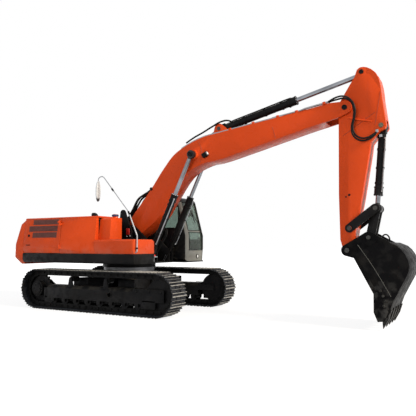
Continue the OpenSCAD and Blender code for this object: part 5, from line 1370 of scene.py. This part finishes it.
class EXCAVATOR_OT_hoses(bpy.types.Operator):
    """Hydraulic hoses at the boom's foot, the stick cylinder, the boom's tip and the bucket cylinder"""

    bl_idname = "excavator.hoses"
    bl_label = "Hoses"

    def execute(self, context):
        self.boom_foot()
        for side, word in ((RIGHT, "right"), (LEFT, "left")):
            self.stick_cylinder(side, word)
            self.boom_tip(side, word)
            self.boom_cylinder(side, word)
        return {"FINISHED"}

    def boom_foot(self):
        """Six hoses from the valve over the boom's foot, and the clamp that holds them."""
        for count, y in enumerate((-0.235, -0.165, -0.095, 0.095, 0.165, 0.235)):
            rise = 0.02 * (count % 2)
            line = [(-0.12, y * 0.75, 1.60), (-0.13, y * 0.8, 1.95), (0.02, y, 2.30), (0.17, y, 2.535),
                    (0.31, y, 2.74), (0.39 - rise, y, 2.88 + rise), (0.49 - rise, y, 3.00 + rise),
                    (0.62, y, 3.075 + rise), (0.80, y, 3.160), (1.00, y, 3.290)]
            self.hose("boom_foot_hose_%d" % (count + 1), line, 0.026, "house", "boom",
                      (0.0, 0, 2.25), (0.60, 0, 3.05))
        clamp = block((-0.03, -0.27, -0.05), (0.03, 0.27, 0.045), 0.008)
        place = Matrix.Translation((0.925, 0, 3.240)) @ Matrix.Rotation(-0.83, 4, "Y")
        shown(copies(clamp, [place]), "foot_hose_clamp", "boom", "black_paint")

    def stick_cylinder(self, side, word):
        """A hose from the boom's top to the stick cylinder's foot."""
        line = ((2.02, 0.21, 4.40), (2.25, 0.20, 4.52), (2.52, 0.19, 4.63), (2.80, 0.175, 4.76),
                (3.05, 0.155, 4.86), (3.22, 0.120, 4.87), (3.32, 0.090, 4.82))
        self.hose(word + "_stick_cylinder_hose", self.to_side(line, side), 0.022, "boom", "stick_barrel",
                  (2.6, 0, 4.7), (3.2, 0, 4.84))

    def boom_tip(self, side, word):
        """Two hoses in a loop from the boom's pipes to the stick, with their fittings and port blocks."""
        for count, (shift, y) in enumerate(((0.0, 0.232), (0.035, 0.285))):
            line = ((5.86, PIPE_OUTER[count], 4.945), (6.02, y + 0.01, 4.965 + shift),
                    (6.20, y + 0.045, 4.960 + shift), (6.335, y + 0.05, 4.880 + shift),
                    (6.40 + shift, y + 0.045, 4.72), (6.395 + shift, y + 0.03, 4.52),
                    (6.345 + shift, y + 0.02, 4.30), (6.375 + shift, y + 0.02, 4.12 + shift),
                    (6.50 + shift, y + 0.02, 4.00 + shift), (6.66, y + 0.01, 3.985 + shift),
                    (6.80, 0.225, 4.06 + shift), (6.875, 0.19, 4.16))
            line = self.to_side(line, side)
            self.hose("%s_stick_hose_%d" % (word, count + 1), line, 0.020, "boom", "stick",
                      (6.02, 0, 4.98), (6.40, 0, 4.62))
        ends = [tube([(5.84, side * y, 4.935), (5.93, side * (y + 0.004), 4.965)], 0.021, 3, 2, False)
                for y in PIPE_OUTER]
        shown(joined(ends), word + "_tip_fittings", "boom", "black_paint")
        ports = [block((6.84, side * 0.195 - 0.022, 4.13), (6.90, side * 0.195 + 0.022, 4.20), 0.008),
                 block((6.91, side * 0.17 - 0.02, 4.03), (6.97, side * 0.17 + 0.02, 4.09), 0.008)]
        shown(joined(ports), word + "_port_blocks", "stick", "galvanized")

    def boom_cylinder(self, side, word):
        """Two thin hoses from the house to a boom cylinder's barrel, with crimped ends."""
        for count, dx in enumerate((0.0, 0.05)):
            line = ((0.96 + dx, 0.280, 1.29), (1.06 + dx, 0.280, 1.46), (1.20 + dx, 0.280, 1.66),
                    (1.33 + dx, 0.280, 1.86), (1.42 + dx, 0.284, 2.02), (1.43 + dx, 0.315, 2.12 + dx))
            line = self.to_side(line, side)
            self.hose("%s_boom_cylinder_hose_%d" % (word, count + 1), line, 0.013, "house", "boom_barrels",
                      (1.08, 0, 1.50), (1.40, 0, 2.00))
            crimp = tube(line[:2], 0.0155, 3, 2, False)
            shown(crimp, "%s_boom_cylinder_crimp_%d" % (word, count + 1), "house", "galvanized")

    def to_side(self, points, side):
        """Points given by their distance out, on one side."""
        return [(x, side * out, z) for x, out, z in points]

    def hose(self, name, points, radius, first, second, start, end):
        """A hose that bends between two bodies."""
        piece = shown(tube(points, radius, 4, 8), name, None, "black_plastic", "hose_rubber")
        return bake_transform(piece, first, second, start, end)


class EXCAVATOR_OT_undercarriage(bpy.types.Operator):
    """Shoe bolts, link pins, roller caps and hub bolts of the undercarriage"""

    bl_idname = "excavator.undercarriage"
    bl_label = "Undercarriage"

    def execute(self, context):
        self.shoes()
        self.guards()
        self.rollers()
        self.hubs()
        return {"FINISHED"}

    def shoes(self):
        """Four bolts on each shoe and a pin end on each link."""
        pitch = (2 * TUMBLERS + 2 * math.pi * PITCH_R) / SHOES
        places, pins = [], []
        for k in range(SHOES):
            start, end = chain_at(k * pitch), chain_at((k + 1) * pitch)
            along = (end - start).normalized()
            out = Vector((along.z, 0, -along.x))
            turn = Matrix((along, Y, out)).transposed().to_4x4()
            for share in (0.30, 0.71):
                spot = start + (end - start) * share + out * (PLATE - 0.002) + Z * AXLE_Z
                places += [Matrix.Translation(spot + Y * (side * TRACK_Y + dy)) @ turn
                           for side in SIDES for dy in (-0.085, 0.085)]
            pins.append(start + Z * AXLE_Z)
        shown(copies(bolt(0.017), places), "shoe_bolts", "undercarriage", "track_steel")
        made = []
        for side in SIDES:
            for facing in SIDES:
                pin_end = disc((0, 0, 0), Y * facing, 0.030, 0.014, 0.25, 0, 14)
                shift = Y * (side * TRACK_Y + facing * 0.120)
                made.append(copies(pin_end, [Matrix.Translation(place + shift) for place in pins]))
        shown(joined(made), "link_pins", "undercarriage", "track_steel")

    def guards(self):
        """Side plates that carry each track frame on to its idler and sprocket, with chain guides."""
        low, high = 1.462, 1.493
        made = []
        for side in SIDES:
            near, far = sorted((side * low, side * high))
            for first, last, bottom, top in ((1.300, 2.226, 0.350, 0.660), (-1.750, -1.300, 0.300, 0.570),
                                             (1.560, 1.980, 0.190, 0.400), (-1.720, -1.440, 0.190, 0.360)):
                made.append(block((first, near, bottom), (last, far, top), 0.012))
            heads = [(x, side * (high - 0.001), 0.60) for x in (1.42, 1.80, 2.14)]
            made.append(bolts(heads, Y * side, 0.022))
        shown(joined(made), "frame_guards", "undercarriage", "black_paint")

    def rollers(self):
        """Caps on the ends of the rollers and idlers."""
        count, pitch = 8, 0.405
        lower = [((k - (count - 1) / 2) * pitch, 0.259) for k in range(count)]
        made = []
        for node, radius, height, lip, dish, sides, spots in (
                ("track_rollers", 0.046, 0.018, 0.25, -0.005, 20, lower),
                ("carrier_rollers", 0.040, 0.016, 0.25, -0.005, 20, [(-0.81, 0.826), (0.405, 0.826)]),
                ("idlers", 0.085, 0.020, 0.20, -0.006, 32, [(TUMBLERS / 2, AXLE_Z)])):
            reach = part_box(node)[1][1] - 0.002
            made += [disc((x, side * reach, z), Y * side, radius, height, lip, dish, sides)
                     for x, z in spots for side in SIDES]
        shown(joined(made), "roller_caps", "undercarriage", "black_paint")

    def hubs(self):
        """Bolts round the final drives and the slew ring, and a ring round each track frame's hole."""
        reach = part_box("final_drives")[1][1]
        centre = Vector((-TUMBLERS / 2, 0, AXLE_Z))
        heads = []
        for side in SIDES:
            for radius, count, y in ((0.178, 16, 1.479), (0.105, 6, reach - 0.001)):
                heads.append(bolts(circle(centre + Y * side * y, X, Z, radius, count), Y * side, 0.016))
        shown(joined(heads), "hub_bolts", "undercarriage", "black_paint")
        low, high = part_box("slew_ring")
        slew = bolts(circle((0, 0, low[2] - 0.001), X, Y, high[0] + 0.045, 32), Z, 0.020)
        shown(slew, "slew_bolts", "undercarriage", "galvanized")
        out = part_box("track_frames")[1][1] - 0.004
        rims = [ring((0.567, side * out, 0.4775), Y, 0.060, 0.078, 0.03) for side in SIDES]
        shown(joined(rims), "frame_rims", "undercarriage", "black_paint")


class EXCAVATOR_OT_stage(bpy.types.Operator):
    """Floor, light and camera"""

    bl_idname = "excavator.stage"
    bl_label = "Stage"

    def execute(self, context):
        stage = context.scene.excavator_stage
        scene = context.scene
        scene.view_settings.view_transform = "Standard"
        clear()
        bpy.ops.mesh.primitive_plane_add(size=400)
        floor = bpy.context.object
        floor.name = "studio_floor"
        floor.data.materials.append(self.floor_finish(tuple(stage.floor)))
        self.light_world(scene)
        aim = Vector((2.0, 0.0, 1.6))
        for name, place, size, energy, colour in (
                ("front_softbox", (40.0, -3.0, 22.0), 9.0, 25000.0, (1.0, 0.90, 0.74)),
                ("side_softbox", (1.0, -40.0, 17.0), 18.0, 6500.0, (0.98, 0.98, 1.0)),
                ("rear_softbox", (-22.0, 22.0, 26.0), 16.0, 2400.0, (0.93, 0.96, 1.0))):
            bpy.ops.object.light_add(type="AREA", location=place)
            lamp = bpy.context.object
            lamp.name = name
            lamp.data.size, lamp.data.energy, lamp.data.color = size, energy, colour
            lamp.visible_glossy = name == "front_softbox"
            lamp.rotation_euler = (aim - Vector(place)).to_track_quat("-Z", "Y").to_euler()
        bpy.ops.object.camera_add(location=stage.place, rotation=(math.pi / 2 + stage.pitch, 0, stage.yaw))
        camera = bpy.context.object
        camera.data.sensor_width = 36
        camera.data.lens = stage.lens
        camera.data.clip_end = 600
        scene.camera = camera
        return {"FINISHED"}

    def floor_finish(self, colour):
        """Pale floor: white to the camera, glass and metal, with the object's shadow kept near it."""
        material = bpy.data.materials.new("Studio floor")
        material.use_nodes = True
        nodes, links = material.node_tree.nodes, material.node_tree.links
        shader = nodes["Principled BSDF"]
        shader.inputs["Base Color"].default_value = (*colour, 1)
        shader.inputs["Roughness"].default_value = 0.9
        path = nodes.new("ShaderNodeLightPath")
        seen = self.seen(nodes, links, path)
        distance = nodes.new("ShaderNodeVectorMath")
        distance.operation = "LENGTH"
        links.new(nodes.new("ShaderNodeTexCoord").outputs["Object"], distance.inputs[0])
        near, far, least, most = 9.0, 24.0, 0.62, 1.0
        fade = nodes.new("ShaderNodeMapRange")
        for socket, value in (("From Min", near), ("From Max", far), ("To Min", least), ("To Max", most)):
            fade.inputs[socket].default_value = value
        links.new(distance.outputs["Value"], fade.inputs["Value"])
        share = nodes.new("ShaderNodeMath")
        share.operation = "MULTIPLY"
        links.new(seen, share.inputs[0])
        links.new(fade.outputs["Result"], share.inputs[1])
        glow = nodes.new("ShaderNodeEmission")
        glow.inputs["Strength"].default_value = 1.36
        mix = nodes.new("ShaderNodeMixShader")
        links.new(share.outputs[0], mix.inputs[0])
        links.new(shader.outputs[0], mix.inputs[1])
        links.new(glow.outputs[0], mix.inputs[2])
        links.new(mix.outputs[0], nodes["Material Output"].inputs["Surface"])
        return material

    def seen(self, nodes, links, path):
        """1 for rays from the camera, off metal and through glass."""
        first, both = nodes.new("ShaderNodeMath"), nodes.new("ShaderNodeMath")
        first.operation = both.operation = "MAXIMUM"
        links.new(path.outputs["Is Camera Ray"], first.inputs[0])
        links.new(path.outputs["Is Glossy Ray"], first.inputs[1])
        links.new(first.outputs[0], both.inputs[0])
        links.new(path.outputs["Is Transmission Ray"], both.inputs[1])
        return both.outputs[0]

    def light_world(self, scene):
        """White to the camera and a soft even light on the object."""
        even_light = 0.38
        world = bpy.data.worlds.new("Studio")
        world.use_nodes = True
        nodes, links = world.node_tree.nodes, world.node_tree.links
        strength = nodes.new("ShaderNodeMapRange")
        strength.inputs["To Min"].default_value = even_light
        links.new(self.seen(nodes, links, nodes.new("ShaderNodeLightPath")), strength.inputs["Value"])
        nodes["Background"].inputs["Color"].default_value = (1, 1, 1, 1)
        links.new(strength.outputs["Result"], nodes["Background"].inputs["Strength"])
        scene.world = world


OPERATORS = (EXCAVATOR_OT_finishes, EXCAVATOR_OT_shells, EXCAVATOR_OT_house, EXCAVATOR_OT_cab,
             EXCAVATOR_OT_seat, EXCAVATOR_OT_arm, EXCAVATOR_OT_cylinders, EXCAVATOR_OT_hoses,
             EXCAVATOR_OT_undercarriage, EXCAVATOR_OT_stage)


class EXCAVATOR_PT_panel(bpy.types.Panel):
    """The excavator's settings and steps"""

    bl_label = "Excavator"
    bl_space_type = "VIEW_3D"
    bl_region_type = "UI"
    bl_category = "Excavator"

    def draw(self, context):
        for settings in (context.scene.excavator_paint, context.scene.excavator_stage):
            for name in settings.__annotations__:
                self.layout.prop(settings, name)
        for operator in OPERATORS:
            self.layout.operator(operator.bl_idname)


CLASSES = (PaintSettings, StageSettings) + OPERATORS + (EXCAVATOR_PT_panel,)


def register():
    for entry in CLASSES:
        bpy.utils.register_class(entry)
    bpy.types.Scene.excavator_paint = bpy.props.PointerProperty(type=PaintSettings)
    bpy.types.Scene.excavator_stage = bpy.props.PointerProperty(type=StageSettings)


def unregister():
    del bpy.types.Scene.excavator_stage
    del bpy.types.Scene.excavator_paint
    for entry in reversed(CLASSES):
        bpy.utils.unregister_class(entry)


def main():
    register()
    bpy.ops.excavator.finishes()
    bpy.ops.excavator.shells()
    bpy.ops.excavator.house()
    bpy.ops.excavator.cab()
    bpy.ops.excavator.seat()
    bpy.ops.excavator.arm()
    bpy.ops.excavator.cylinders()
    bpy.ops.excavator.hoses()
    bpy.ops.excavator.undercarriage()
    bpy.ops.excavator.stage()
    clear()


if __name__ == "__main__":
    main()
